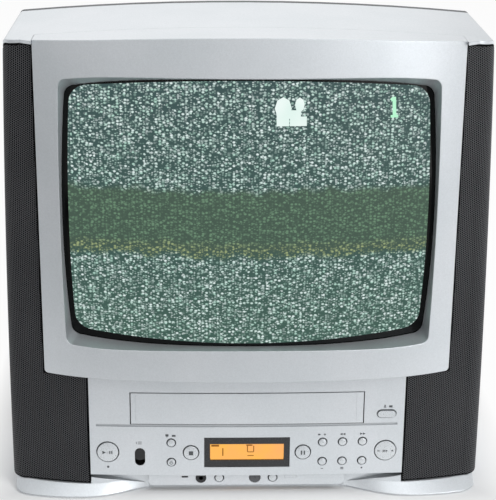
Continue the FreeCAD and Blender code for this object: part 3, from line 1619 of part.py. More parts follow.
cover_start = joint + part_gap
cover_solid = fused(
    "cover_solid", hump("hump_outer", cover_start, 0, foot_height, rear),
    shelf("shelf_outer", cover_start, 0, foot_height, rear))
cover_inside = fused(
    "cover_inside", hump("hump_inner", joint - 1, cover_wall, foot_height - 1, rear - cover_wall),
    shelf("shelf_inner", joint - 1, cover_wall, foot_height - 1, rear - cover_wall))
terminal_window = block(
    "terminal_window",
    (terminal_across - terminal_half_width, terminal_across + terminal_half_width),
    (rear - cover_wall - 1, rear + 1), (terminal_low, terminal_high))
gland_flange_radius = size("gland_flange_radius", 8)
gland_flange = size("gland_flange", 1.3)
gland_recess = rod(
    "gland_recess", "back", -gland_across, rear - gland_flange, gland_height,
    gland_flange_radius + part_gap, gland_flange + 1)
gland_hole = rod(
    "gland_hole", "back", -gland_across, rear - cover_wall - 1, gland_height,
    gland_radius + screw_gap, cover_wall + 2)
rear_screw_hole = rod(
    "rear_screw_hole", "back", upstand_across, rear - cover_wall - 1, rear_screw_height,
    case_screw_radius + screw_gap, cover_wall + 2)
rear_head_room = rod(
    "rear_head_room", "back", upstand_across, rear - head_height, rear_screw_height,
    head_radius + part_gap, head_height + 1)
vent_tools = []
for number in counted(vent_count):
    across = (number - (vent_count - 1) / 2) * vent_pitch
    vent_tools.append(block(
        "top_vent_" + str(number), (across - vent_width / 2, across + vent_width / 2),
        (joint + vent_start, joint + vent_start + vent_length),
        (hump_high_back, cabinet_height + crown_height)))
    vent_tools.append(block(
        "back_vent_" + str(number), (across - vent_width / 2, across + vent_width / 2),
        (rear - cover_wall - 1, rear + 1), (back_vent_low, back_vent_low + back_vent_length)))
node("rear_cover", cut(
    "rear_cover", cover_solid, cover_inside, terminal_window, gland_recess, gland_hole,
    rear_screw_hole, rear_head_room, mirrored("left_rear_screw_hole", rear_screw_hole),
    mirrored("left_rear_head_room", rear_head_room), side_screw_hole,
    mirrored("left_cover_screw_hole", side_screw_hole), *vent_tools))


# Case screws: two up through the base, two into the back and one into each side


def case_screw(name, turn, across, depth, height, length):
    return turned(name, turn, across, depth, height, [
        (0, 0),
        (head_radius, 0),
        (head_radius, head_height),
        (case_screw_radius, head_height),
        (case_screw_radius, length),
        (0, length),
    ])


screw_length = size("screw_length", 12)
side_screw_length = size("side_screw_length", 7)
turns["left"] = FreeCAD.Rotation(vector(0, 1, 0), -90)
screws = [
    case_screw("base_screw", "up", anchor_across, baffle_back + anchor_half, foot_height, screw_length),
    case_screw("rear_screw", "front", upstand_across, rear, rear_screw_height, screw_length),
    case_screw("side_screw", "left", side_at(side_screw_height) + head_height + part_gap / 2,
               side_screw_depth, side_screw_height, side_screw_length),
]
node("case_screws", grouped(
    "case_screws", *screws, *[mirrored("left_" + screw.Name, screw) for screw in screws]))

# Terminal panel: a shallow tray in the back, with seven sockets that stand on its floor
tray_depth = size("tray_depth", 8)
tray_wall = size("tray_wall", 2)
tray_back = rear - cover_wall
tray_floor = tray_back - tray_depth
tray_solid = block(
    "tray_solid",
    (terminal_across - terminal_half_width - tray_wall,
     terminal_across + terminal_half_width + tray_wall),
    (tray_floor - terminal_thickness, tray_back),
    (terminal_low - tray_wall, terminal_high + tray_wall))
tray_room = block(
    "tray_room",
    (terminal_across - terminal_half_width, terminal_across + terminal_half_width),
    (tray_floor, tray_back + 1), (terminal_low, terminal_high))
sockets = []


def socket(name, across, height, radius, bore):
    """A sleeve with an open bore."""
    return cut(name, rod(name + "_sleeve", "back", across, tray_floor, height, radius, socket_length),
               rod(name + "_bore", "back", across, tray_floor - 1, height, bore, socket_length + 2))


socket_column = size("socket_column", 66)
socket_row_pitch = size("socket_row_pitch", 20)
middle_row = (terminal_low + terminal_high) / 2
for row in (-1, 1):
    for column in range(3):
        sockets.append(socket(
            "socket_" + str(row + 1) + str(column), socket_column + socket_pitch * column,
            middle_row + row * socket_row_pitch / 2, socket_radius, socket_bore))
antenna_across = size("antenna_across", 124)
antenna_radius = size("antenna_radius", 4.8)
antenna_bore = size("antenna_bore", 3.6)
sockets.append(socket("antenna_socket", antenna_across, middle_row, antenna_radius, antenna_bore))
node("terminal_panel", cut("terminal_panel", tray_solid, tray_room))
node("rear_sockets", grouped("rear_sockets", *sockets))
node("cord_gland", turned("cord_gland", "front", -gland_across, rear, gland_height, [
    (gland_bore, 0),
    (gland_flange_radius, 0),
    (gland_flange_radius, gland_flange),
    (gland_radius, gland_flange),
    (gland_radius, gland_length),
    (gland_bore, gland_length),
]))

# Main board at the back with the parts that stand on it
board_top_level = main_board_level + board_thickness
flyback_across = size("flyback_across", 62)
flyback_depth = size("flyback_depth", 44)
knob_radius = size("knob_radius", 4)
knob_length = size("knob_length", 6)
node("main_board", block(
    "main_board", (-main_board_half, main_board_half), (main_board_front, main_board_rear),
    (main_board_level, board_top_level)))
flyback_front = main_board_front + flyback_depth
node("flyback_transformer", fused(
    "flyback_transformer",
    block("flyback_core", (-flyback_across - flyback_half, flyback_half - flyback_across),
          (flyback_front - flyback_half, flyback_front + flyback_half),
          (board_top_level, board_top_level + flyback_height / 2)),
    rod("flyback_coil", "up", -flyback_across, flyback_front, board_top_level,
        flyback_half - 1, flyback_height),
    rod("focus_knob", "back", -flyback_across - flyback_half / 2, flyback_front + flyback_half - 1,
        board_top_level + flyback_height / 3, knob_radius, knob_length),
    rod("screen_knob", "back", -flyback_across + flyback_half / 2, flyback_front + flyback_half - 1,
        board_top_level + flyback_height / 3, knob_radius, knob_length)))
sink_start = size("sink_start", 14)
sink_depth = size("sink_depth", 18)
fin_thickness = size("fin_thickness", 2)
fin_reach = size("fin_reach", 16)
fin_pitch = (sink_length - fin_thickness) / (sink_fins - 1)
sink_front = main_board_front + sink_depth
sink_parts = [block("sink_plate", (sink_start, sink_start + sink_length),
                    (sink_front, sink_front + fin_thickness),
                    (board_top_level, board_top_level + sink_height))]
for number in counted(sink_fins):
    left = sink_start + fin_pitch * number
    sink_parts.append(block("fin_" + str(number), (left, left + fin_thickness),
                            (sink_front, sink_front + fin_reach),
                            (board_top_level, board_top_level + sink_height)))
node("heat_sink", fused("heat_sink", *sink_parts))
can_radius = size("can_radius", 12)
can_height = size("can_height", 34)
small_can_radius = size("small_can_radius", 5)
small_can_height = size("small_can_height", 16)
can_across = size("can_across", 4)
can_depth = size("can_depth", 82)
small_can_pitch = size("small_can_pitch", 16)
cans = [rod("large_can", "up", -can_across, main_board_front + can_depth, board_top_level,
            can_radius, can_height)]
for number in range(4):
    cans.append(rod("small_can_" + str(number), "up",
                    can_across + can_radius * 2 + small_can_pitch * number,
                    main_board_front + can_depth / 2 + small_can_radius, board_top_level,
                    small_can_radius, small_can_height))
node("capacitors", grouped("capacitors", *cans))
tuner_inner = size("tuner_inner", 76)
tuner_depth = size("tuner_depth", 24)
tuner_setback = size("tuner_setback", 4)
node("tuner_box", block(
    "tuner_box", (tuner_inner, tuner_inner + tuner_length),
    (main_board_rear - tuner_setback - tuner_depth, main_board_rear - tuner_setback),
    (board_top_level, board_top_level + tuner_height)))

# Cassette deck: a sheet-metal frame on the floor plate, with rails for the carriage
deck_front = front + deck_setback
deck_back = deck_front + deck_length
deck_inner = deck_half - deck_sheet
deck_floor_top = deck_floor + deck_sheet
rail_gap = size("rail_gap", 0.3)
shaft_radius = size("shaft_radius", 2.5)
spindle_radius = size("spindle_radius", 4.5)
spindle_height = size("spindle_height", 12)
wall_plate = block("wall_plate", (deck_inner, deck_half), (deck_front, deck_back), (floor_top, deck_top))
foot_flange = block(
    "foot_flange", (deck_half - deck_flange, deck_inner), (deck_front, deck_back),
    (floor_top, floor_top + deck_sheet))
low_rail = block(
    "low_rail", (deck_inner - rail_width, deck_inner), (front + carriage_front, deck_back),
    (carriage_low - rail_gap - deck_sheet, carriage_low - rail_gap))
high_rail = block(
    "high_rail", (deck_inner - rail_width, deck_inner), (front + carriage_front, deck_back),
    (carriage_high + rail_gap, carriage_high + rail_gap + deck_sheet))
deck_sides = [wall_plate, foot_flange, low_rail, high_rail]
deck_floor_plate = block(
    "deck_floor_plate", (-deck_inner, deck_inner), (deck_front, deck_back),
    (deck_floor, deck_floor_top))
deck_back_plate = block(
    "deck_back_plate", (-deck_inner, deck_inner), (deck_back - deck_sheet, deck_back),
    (deck_floor, carriage_low))


def shaft_hole(name, across, depth, radius):
    return rod(name, "up", across, depth, deck_floor - 1, radius + shaft_clearance, deck_sheet + 2)


reel_depth = front + reel_distance
drum_depth = front + drum_distance
capstan_depth = front + capstan_distance
pinch_depth = front + pinch_distance
node("deck_chassis", cut(
    "deck_chassis",
    fused("deck_solid", deck_floor_plate, deck_back_plate, *deck_sides,
          *[mirrored("left_" + piece.Name, piece) for piece in deck_sides]),
    shaft_hole("left_reel_hole", -reel_across, reel_depth, shaft_radius),
    shaft_hole("right_reel_hole", reel_across, reel_depth, shaft_radius),
    shaft_hole("capstan_hole", capstan_across, capstan_depth, capstan_radius),
    shaft_hole("pinch_hole", pinch_across, pinch_depth, shaft_radius)))

# Loading carriage: two side plates and a bridge that slide to the back on the rails
bridge_lead = size("bridge_lead", 21)
bridge_length = size("bridge_length", 20)
carriage_start = front + carriage_front
carriage_plate = block(
    "carriage_plate", (carriage_half - deck_sheet, carriage_half),
    (carriage_start, carriage_start + carriage_length), (carriage_low, carriage_high))
bridge = block(
    "bridge", (-carriage_half, carriage_half),
    (carriage_start + bridge_lead, carriage_start + bridge_lead + bridge_length),
    (carriage_high - deck_sheet, carriage_high))
node("loading_carriage", fused(
    "loading_carriage", carriage_plate, mirrored("left_carriage_plate", carriage_plate), bridge))

# Cassette holder: a box open in front and below, which sinks with the cassette
holder_start = front + holder_front
holder_back = holder_start + holder_length
holder_top = holder_bottom + holder_height
holder_sheet = size("holder_sheet", 1)
holder_solid = block(
    "holder_solid", (-holder_half, holder_half), (holder_start, holder_back),
    (holder_bottom, holder_top))
holder_room = block(
    "holder_room", (-holder_half + deck_sheet, holder_half - deck_sheet),
    (holder_start - 1, holder_back + 1), (holder_bottom + holder_sheet, holder_top - holder_sheet))
holder_gap = block(
    "holder_gap", (holder_lip - holder_half, holder_half - holder_lip),
    (holder_start - 1, holder_back + 1), (holder_bottom - 1, holder_bottom + holder_sheet + 1))
guide_lead = size("guide_lead", 24)
guide_width = size("guide_width", 5)
right_guide = block(
    "right_guide", (holder_half - 1, carriage_half - deck_sheet - rail_gap),
    (holder_start + guide_lead, holder_start + guide_lead + guide_width),
    (holder_bottom, holder_top))
node("cassette_holder", fused(
    "cassette_holder", cut("holder_shell", holder_solid, holder_room, holder_gap), right_guide,
    mirrored("left_guide", right_guide)))

# Reels: a table on a shaft, with a spindle that reaches into the cassette
reel_lift = size("reel_lift", 0.5)
collar_height = size("collar_height", 1)
shaft_drop = size("shaft_drop", 5)
table_height = reel_height - spindle_height


def reel(name, across):
    start = shaft_drop + deck_sheet + reel_lift
    return turned(name, "up", across, reel_depth, deck_floor - shaft_drop, [
        (0, 0),
        (shaft_radius, 0),
        (shaft_radius, start),
        (reel_radius, start),
        (reel_radius, start + table_height / 2),
        (reel_radius - spindle_radius, start + table_height),
        (spindle_radius, start + table_height),
        (spindle_radius, start + reel_height),
        (0, start + reel_height),
    ])


node("supply_reel", reel("supply_reel", -reel_across))
node("takeup_reel", reel("takeup_reel", reel_across))

# Head drum: the upper half turns on a shaft in the fixed lower half
drum_gap = size("drum_gap", 0.4)
drum_collar = size("drum_collar", 6)
drum_collar_height = size("drum_collar_height", 4)
lower_drum_height = size("lower_drum_height", 14)
shaft_bore = drum_shaft + shaft_clearance
node("drum_base", turned("drum_base", "up", 0, drum_depth, deck_floor_top, [
    (shaft_bore, 0),
    (drum_radius, 0),
    (drum_radius, lower_drum_height),
    (shaft_bore, lower_drum_height),
]))
node("head_drum", turned("head_drum", "up", 0, drum_depth, deck_floor_top + 1, [
    (0, 0),
    (drum_shaft, 0),
    (drum_shaft, lower_drum_height + drum_gap - 1),
    (drum_radius, lower_drum_height + drum_gap - 1),
    (drum_radius, drum_height + lower_drum_height - 1),
    (drum_collar, drum_height + lower_drum_height - 1),
    (drum_collar, drum_height + lower_drum_height + drum_collar_height - 1),
    (0, drum_height + lower_drum_height + drum_collar_height - 1),
]))

# Capstan: a thin shaft through the deck with its flywheel below
flywheel_height = size("flywheel_height", 8)
flywheel_gap = size("flywheel_gap", 0.5)
capstan_height = size("capstan_height", 28)
flywheel_low = deck_floor - flywheel_gap - flywheel_height
node("capstan", turned("capstan", "up", capstan_across, capstan_depth, flywheel_low, [
    (0, 0),
    (flywheel_radius, 0),
    (flywheel_radius, flywheel_height),
    (capstan_radius, flywheel_height),
    (capstan_radius, flywheel_height + flywheel_gap + deck_sheet + capstan_height),
    (0, flywheel_height + flywheel_gap + deck_sheet + capstan_height),
]))

# Pinch arm: swings its rubber roller up to the capstan
arm_level = deck_floor_top + part_gap
pinch_hub = size("pinch_hub", 5)
pinch_plate = size("pinch_plate", 2.5)
roller_height = size("roller_height", 18)
roller_depth = front + roller_distance
hub = turned("pinch_hub", "up", pinch_across, pinch_depth, deck_floor - shaft_drop, [
    (0, 0),
    (shaft_radius, 0),
    (shaft_radius, shaft_drop + deck_sheet + part_gap),
    (pinch_hub, shaft_drop + deck_sheet + part_gap),
    (pinch_hub, shaft_drop + deck_sheet + part_gap + pinch_plate),
    (0, shaft_drop + deck_sheet + part_gap + pinch_plate),
])
link_half = size("link_half", 3.2)
pinch_link = slab("pinch_link", "XY_Plane", (arm_level, arm_level + pinch_plate), [
    (roller_across, roller_depth - link_half),
    (pinch_across, pinch_depth - link_half),
    (pinch_across, pinch_depth + link_half),
    (roller_across, roller_depth + link_half),
])
roller = rod("roller", "up", roller_across, roller_depth, arm_level, roller_radius, roller_height)
node("pinch_arm", fused("pinch_arm", hub, pinch_link, roller))

# Check every object and every piece, then write one file for each piece
doc.recompute()
failed = [item.Name for item in doc.Objects if "Invalid" in item.State or "Error" in item.State]
if failed:
    raise RuntimeError("not computed: " + ", ".join(failed))
for piece in nodes:
    if piece.Shape.isNull() or not piece.Shape.isValid() or not piece.Shape.Solids:
        raise RuntimeError("bad shape: " + piece.Label)
os.makedirs("parts", exist_ok=True)
for piece in nodes:
    piece.Shape.exportStep(os.path.join("parts", piece.Label + ".step"))
print(len(nodes), "pieces written")
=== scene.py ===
import json
import math

import bpy
import numpy as np
from mathutils import Matrix, Vector


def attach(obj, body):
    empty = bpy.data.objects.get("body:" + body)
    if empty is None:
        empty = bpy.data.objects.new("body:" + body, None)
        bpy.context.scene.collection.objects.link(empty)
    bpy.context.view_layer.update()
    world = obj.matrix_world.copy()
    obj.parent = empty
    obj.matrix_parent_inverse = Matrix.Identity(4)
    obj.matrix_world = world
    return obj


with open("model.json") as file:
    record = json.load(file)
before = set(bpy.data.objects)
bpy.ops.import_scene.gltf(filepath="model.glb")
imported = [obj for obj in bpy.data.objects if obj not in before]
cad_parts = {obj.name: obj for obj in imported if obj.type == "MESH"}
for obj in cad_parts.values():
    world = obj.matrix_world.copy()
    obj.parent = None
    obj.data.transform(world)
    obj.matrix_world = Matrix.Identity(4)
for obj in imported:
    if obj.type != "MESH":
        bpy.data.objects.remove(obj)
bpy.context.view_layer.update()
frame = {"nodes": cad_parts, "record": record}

print("frame loaded:", len(frame["nodes"]), "solids")

mm = 0.001
front = -146 * mm  # plane that the depths of the front pieces are counted from


def tone(code):
    # sRGB hex to the linear colour that the sockets take
    channels = [int(code[place:place + 2], 16) / 255 for place in (1, 3, 5)]
    return tuple(c / 12.92 if c <= 0.04045 else ((c + 0.055) / 1.055) ** 2.4
                 for c in channels) + (1.0,)


# Camera at the photograph's place, from a fit to the edges of the case

view = {"place": (-0.0379, -1.2747, 0.6105), "down": 19.543, "aside": 1.926, "roll": 0.55,
        "lens": 106.9}


def addCamera():
    down, aside, roll = (math.radians(view[key]) for key in ("down", "aside", "roll"))
    ahead = Vector((math.sin(aside) * math.cos(down), math.cos(aside) * math.cos(down),
                    -math.sin(down)))
    right = Vector((math.cos(aside), -math.sin(aside), 0))
    up = right.cross(ahead)
    turnedRight = right * math.cos(roll) + up * math.sin(roll)
    turnedUp = up * math.cos(roll) - right * math.sin(roll)
    data = bpy.data.cameras.new("camera")
    data.lens = view["lens"]
    data.sensor_width = 36
    data.clip_start = 0.05
    data.clip_end = 50
    camera = bpy.data.objects.new("camera", data)
    bpy.context.scene.collection.objects.link(camera)
    axes = Matrix((turnedRight, turnedUp, -ahead)).transposed().to_4x4()
    camera.matrix_world = Matrix.Translation(Vector(view["place"])) @ axes
    bpy.context.scene.camera = camera


addCamera()
bpy.context.scene.view_settings.view_transform = "Standard"


# Materials

def addNode(tree, kind, inputs=None, **settings):
    node = tree.nodes.new(kind)
    for name, value in settings.items():
        setattr(node, name, value)
    for socket, value in (inputs or {}).items():
        if isinstance(value, bpy.types.NodeSocket):
            tree.links.new(value, node.inputs[socket])
        else:
            node.inputs[socket].default_value = value
    return node


def newMaterial(name):
    material = bpy.data.materials.new(name)
    material.use_nodes = True
    tree = material.node_tree
    tree.nodes.clear()
    place = addNode(tree, "ShaderNodeTexCoord").outputs["Object"]
    return material, tree, place


def closeMaterial(material, tree, shader):
    addNode(tree, "ShaderNodeOutputMaterial", {"Surface": shader.outputs[0]})
    return material


def ranged(tree, value, low, high, fromLow=0.3, fromHigh=0.7):
    return addNode(tree, "ShaderNodeMapRange", {
        "Value": value, "From Min": fromLow, "From Max": fromHigh, "To Min": low,
        "To Max": high}).outputs[0]


# The fascia's face, in mm: its bow's radius, how far it stands before the front plane, and the
# depths behind it over which groove and gaps turn dark with painted shade
fasciaFace = {"radius": 2400, "proud": 25, "groove": (0.4, 0.95), "gap": (1.1, 1.3),
              "shade": "#0c0d0e"}


def grained(name, look):
    # a moulded, painted or rolled surface: slow change of shade, fine grain, flakes in paint
    material, tree, place = newMaterial(name)
    slow = addNode(tree, "ShaderNodeTexNoise", {
        "Vector": place, "Scale": 1000 / look.get("patch", 60), "Detail": 3.0})
    stretched = place
    if "brush" in look:
        stretched = addNode(tree, "ShaderNodeMapping", {
            "Vector": place, "Scale": look["brush"]}).outputs[0]
    grain = addNode(tree, "ShaderNodeTexNoise", {
        "Vector": stretched, "Scale": 1000 / look["grain"], "Detail": 2.0})
    colour = addNode(tree, "ShaderNodeMix", {
        0: ranged(tree, slow.outputs[0], 0, 1, 0.35, 0.65), 6: tone(look["colour"]),
        7: tone(look["shade"])}, data_type="RGBA").outputs[2]
    if "flake" in look:
        flakes = addNode(tree, "ShaderNodeTexVoronoi", {
            "Vector": place, "Scale": 1000 / look["flake"]})
        sparkle = ranged(tree, flakes.outputs["Color"], *look["sparkle"], 0, 1)
        colour = addNode(tree, "ShaderNodeMix", {
            0: 1.0, 6: colour, 7: sparkle}, data_type="RGBA", blend_type="MULTIPLY").outputs[2]
    metal = look.get("metal", 0.0)
    if look.get("shadowed"):
        # painted shade: the groove and the gaps behind the bowed front face are darkened and lose their
        # metal
        split = addNode(tree, "ShaderNodeSeparateXYZ", {"Vector": place})
        bow = addNode(tree, "ShaderNodeMath", {0: split.outputs["X"], 1: 2.0}, operation="POWER")
        bow = addNode(tree, "ShaderNodeMath", {
            0: bow.outputs[0], 1: 1 / (2 * fasciaFace["radius"] * mm)}, operation="MULTIPLY")
        behind = addNode(tree, "ShaderNodeMath", {0: split.outputs["Y"], 1: bow.outputs[0]},
                         operation="SUBTRACT")
        face = front - fasciaFace["proud"] * mm
        groove = ranged(tree, behind.outputs[0], 0.0, 0.3,
                        *(face + depth * mm for depth in fasciaFace["groove"]))
        gap = ranged(tree, behind.outputs[0], 0.0, 0.7,
                     *(face + depth * mm for depth in fasciaFace["gap"]))
        shaded = addNode(tree, "ShaderNodeMath", {0: groove, 1: gap}, operation="ADD").outputs[0]
        colour = addNode(tree, "ShaderNodeMix", {
            0: shaded, 6: colour, 7: tone(fasciaFace["shade"])}, data_type="RGBA").outputs[2]
        metal = ranged(tree, shaded, metal, 0.0, 0.3, 1.0)
    rough = ranged(tree, grain.outputs[0], *look["rough"])
    normal = addNode(tree, "ShaderNodeBump", {
        "Height": grain.outputs[0], "Distance": look["relief"] * mm, "Strength": 1.0})
    if look.get("edge"):
        soft = addNode(tree, "ShaderNodeBevel", {"Radius": look["edge"] * mm}, samples=4)
        tree.links.new(soft.outputs[0], normal.inputs["Normal"])
    shader = addNode(tree, "ShaderNodeBsdfPrincipled", {
        "Base Color": colour, "Roughness": rough, "Normal": normal.outputs[0],
        "Metallic": metal, "IOR": 1.5, "Specular IOR Level": look.get("shine", 0.5),
        "Coat Weight": look.get("coat", 0.0), "Coat Roughness": 0.1})
    return closeMaterial(material, tree, shader)


finishes = {
    # ABS sprayed with silver paint: fine flakes, satin, soft moulded edges
    "silver_shell": {"colour": "#c6cace", "shade": "#c1c6ca", "grain": 0.9, "relief": 0.006,
                     "rough": (0.32, 0.42), "flake": 0.9, "sparkle": (0.95, 1.04),
                     "metal": 0.65, "edge": 1.1},
    # the same paint on the fascia, with painted shade in its groove and gaps
    "fascia_shell": {"colour": "#c6cace", "shade": "#c1c6ca", "grain": 0.9, "relief": 0.006,
                     "rough": (0.32, 0.42), "flake": 0.9, "sparkle": (0.95, 1.04),
                     "metal": 0.65, "edge": 0.4, "shadowed": True},
    # the same paint under a thin clear layer on the keys
    "silver_key": {"colour": "#c4c8cb", "shade": "#bec3c7", "grain": 0.8, "relief": 0.003,
                   "rough": (0.26, 0.34), "flake": 0.7, "sparkle": (0.96, 1.03),
                   "metal": 0.6, "edge": 0.5, "coat": 0.3},
    # ABS moulded against a spark eroded wall, so that it has a fine leather
    "grey_cover": {"colour": "#43474b", "shade": "#3d4145", "grain": 1.1, "relief": 0.05,
                   "rough": (0.52, 0.68), "edge": 0.6},
    # black polystyrene, smooth
    "dark_plastic": {"colour": "#1c1d1f", "shade": "#232427", "grain": 0.8, "relief": 0.004,
                     "rough": (0.38, 0.5), "shine": 0.35, "edge": 0.2},
    # glossy dark grey frame round the display
    "dark_gloss": {"colour": "#2c2d2f", "shade": "#313234", "grain": 1.4, "relief": 0.002,
                   "rough": (0.2, 0.3), "shine": 0.3, "edge": 0.3},
    # smoked window of the sensor
    "sensor_window": {"colour": "#626366", "shade": "#5b5c5f", "grain": 1.4, "relief": 0.002,
                      "rough": (0.25, 0.35), "shine": 0.3},
    # black solder mask on laminate
    "dark_board": {"colour": "#0b0c0b", "shade": "#0f100f", "grain": 1.0, "relief": 0.01,
                   "rough": (0.5, 0.65), "shine": 0.2},
    # natural rubber, matt with talc in its pores
    "rubber": {"colour": "#1a1a1a", "shade": "#262626", "grain": 0.6, "relief": 0.02,
               "rough": (0.75, 0.9), "shine": 0.3},
    # steel screws, zinc plated
    "screw_steel": {"colour": "#a9abad", "shade": "#95989b", "grain": 0.5, "relief": 0.004,
                    "rough": (0.25, 0.4), "metal": 1.0},
    # drawn spring wire
    "spring_steel": {"colour": "#b3b5b7", "shade": "#9a9da0", "grain": 0.4, "relief": 0.004,
                     "rough": (0.25, 0.38), "metal": 1.0},
    # galvanised sheet, spangled
    "sheet_steel": {"colour": "#a4a8ab", "shade": "#8d9295", "grain": 3.0, "relief": 0.004,
                    "rough": (0.32, 0.5), "metal": 1.0, "patch": 9},
    # phenolic former with its windings
    "yoke_plastic": {"colour": "#8f6a3c", "shade": "#6d4c2a", "grain": 1.2, "relief": 0.06,
                     "rough": (0.4, 0.6), "brush": (1.0, 1.0, 0.2)},
    # vinyl tape wound round the coil
    "coil_tape": {"colour": "#1d1d20", "shade": "#2a2a2e", "grain": 2.5, "relief": 0.05,
                  "rough": (0.4, 0.55)},
    # brown phenolic laminate
    "board_resin": {"colour": "#8a6a3b", "shade": "#7a5a30", "grain": 1.0, "relief": 0.01,
                    "rough": (0.45, 0.6)},
    # extruded aluminium
    "aluminium": {"colour": "#b9bcbe", "shade": "#a9acae", "grain": 0.8, "relief": 0.004,
                  "rough": (0.3, 0.45), "metal": 1.0, "brush": (1.0, 0.08, 1.0)},
    # turned and polished aluminium
    "drum_aluminium": {"colour": "#d2d4d6", "shade": "#c6c9cb", "grain": 0.6, "relief": 0.002,
                       "rough": (0.12, 0.2), "metal": 1.0, "brush": (0.1, 0.1, 1.0)},
    # heat shrink sleeve
    "can_sleeve": {"colour": "#15233f", "shade": "#101b33", "grain": 1.0, "relief": 0.003,
                   "rough": (0.25, 0.35)},
    # black paper pulp, pressed
    "cone_paper": {"colour": "#1f1f20", "shade": "#28282a", "grain": 0.5, "relief": 0.05,
                   "rough": (0.8, 0.95), "shine": 0.2},
    # perforated steel sheet, dark grey satin paint
    "grille_metal": {"colour": "#525356", "shade": "#4c4d50", "grain": 0.6, "relief": 0.004,
                     "rough": (0.42, 0.55), "metal": 0.2, "shine": 0.4},
    # black cloth behind the perforations
    "grille_cloth": {"colour": "#060607", "shade": "#09090a", "grain": 0.5, "relief": 0.03,
                     "rough": (0.85, 0.95), "shine": 0.1},
    # screen printing ink
    "grey_ink": {"colour": "#54575a", "shade": "#4c4f52", "grain": 0.4, "relief": 0.002,
                 "rough": (0.55, 0.65), "shine": 0.3},
    # coloured polypropylene in the phono sockets
    "yellow_plastic": {"colour": "#d6b021", "shade": "#c9a41c", "grain": 0.6, "relief": 0.003,
                       "rough": (0.3, 0.4)},
    "white_plastic": {"colour": "#dcdcd8", "shade": "#d2d2ce", "grain": 0.6, "relief": 0.003,
                      "rough": (0.3, 0.4)},
    "red_plastic": {"colour": "#b02a22", "shade": "#a0241d", "grain": 0.6, "relief": 0.003,
                    "rough": (0.3, 0.4)},
    # nickel plated brass
    "nickel": {"colour": "#c9c3b6", "shade": "#bcb6aa", "grain": 0.5, "relief": 0.002,
               "rough": (0.18, 0.28), "metal": 1.0},
}
materials = {name: grained(name, look) for name, look in finishes.items()}


def tubeGlass():
    # the tube's dark panel glass, polished, with black coating behind its edge
    material, tree, place = newMaterial("tube_glass")
    haze = addNode(tree, "ShaderNodeTexNoise", {"Vector": place, "Scale": 12.0, "Detail": 2.0})
    shade = addNode(tree, "ShaderNodeMix", {
        0: haze.outputs[0], 6: tone("#050606"), 7: tone("#080a0a")}, data_type="RGBA")
    shader = addNode(tree, "ShaderNodeBsdfPrincipled", {
        "Base Color": shade.outputs[2], "Roughness": ranged(tree, haze.outputs[0], 0.06, 0.11),
        "IOR": 1.52, "Specular IOR Level": 0.12})
    return closeMaterial(material, tree, shader)


materials["tube_glass"] = tubeGlass()


picture = {
    "centre": 246.0, "radius": 575.0, "apex": -181.5,  # the glass ball that carries it
    "halfMiddle": 141.6, "halfCorner": 139.0, "topMiddle": 354.6, "topCorner": 347.2,
    "bottomMiddle": 138.8, "bottomCorner": 147.7, "corner": 13.0,
    "proud": 0.1, "signsProud": 0.3,  # how far picture and signs stand off the glass
    "coarse": (2.3, 1.3, 0.0), "fine": (1.35, 1.5, 0.37),  # snow: cell, stretch sideways, shift
    "ground": (138, 355),  # heights between which its dark ground changes
    "bandTop": 270.7, "bandBottom": 219.7, "ragged": 0.003,
    # soft edges of the band and of its tail, from and to, about those heights
    "topEdge": (-3, 3), "bottomEdge": (-5, 4), "tailTop": (3, 10), "tailBottom": (-6, -2),
}


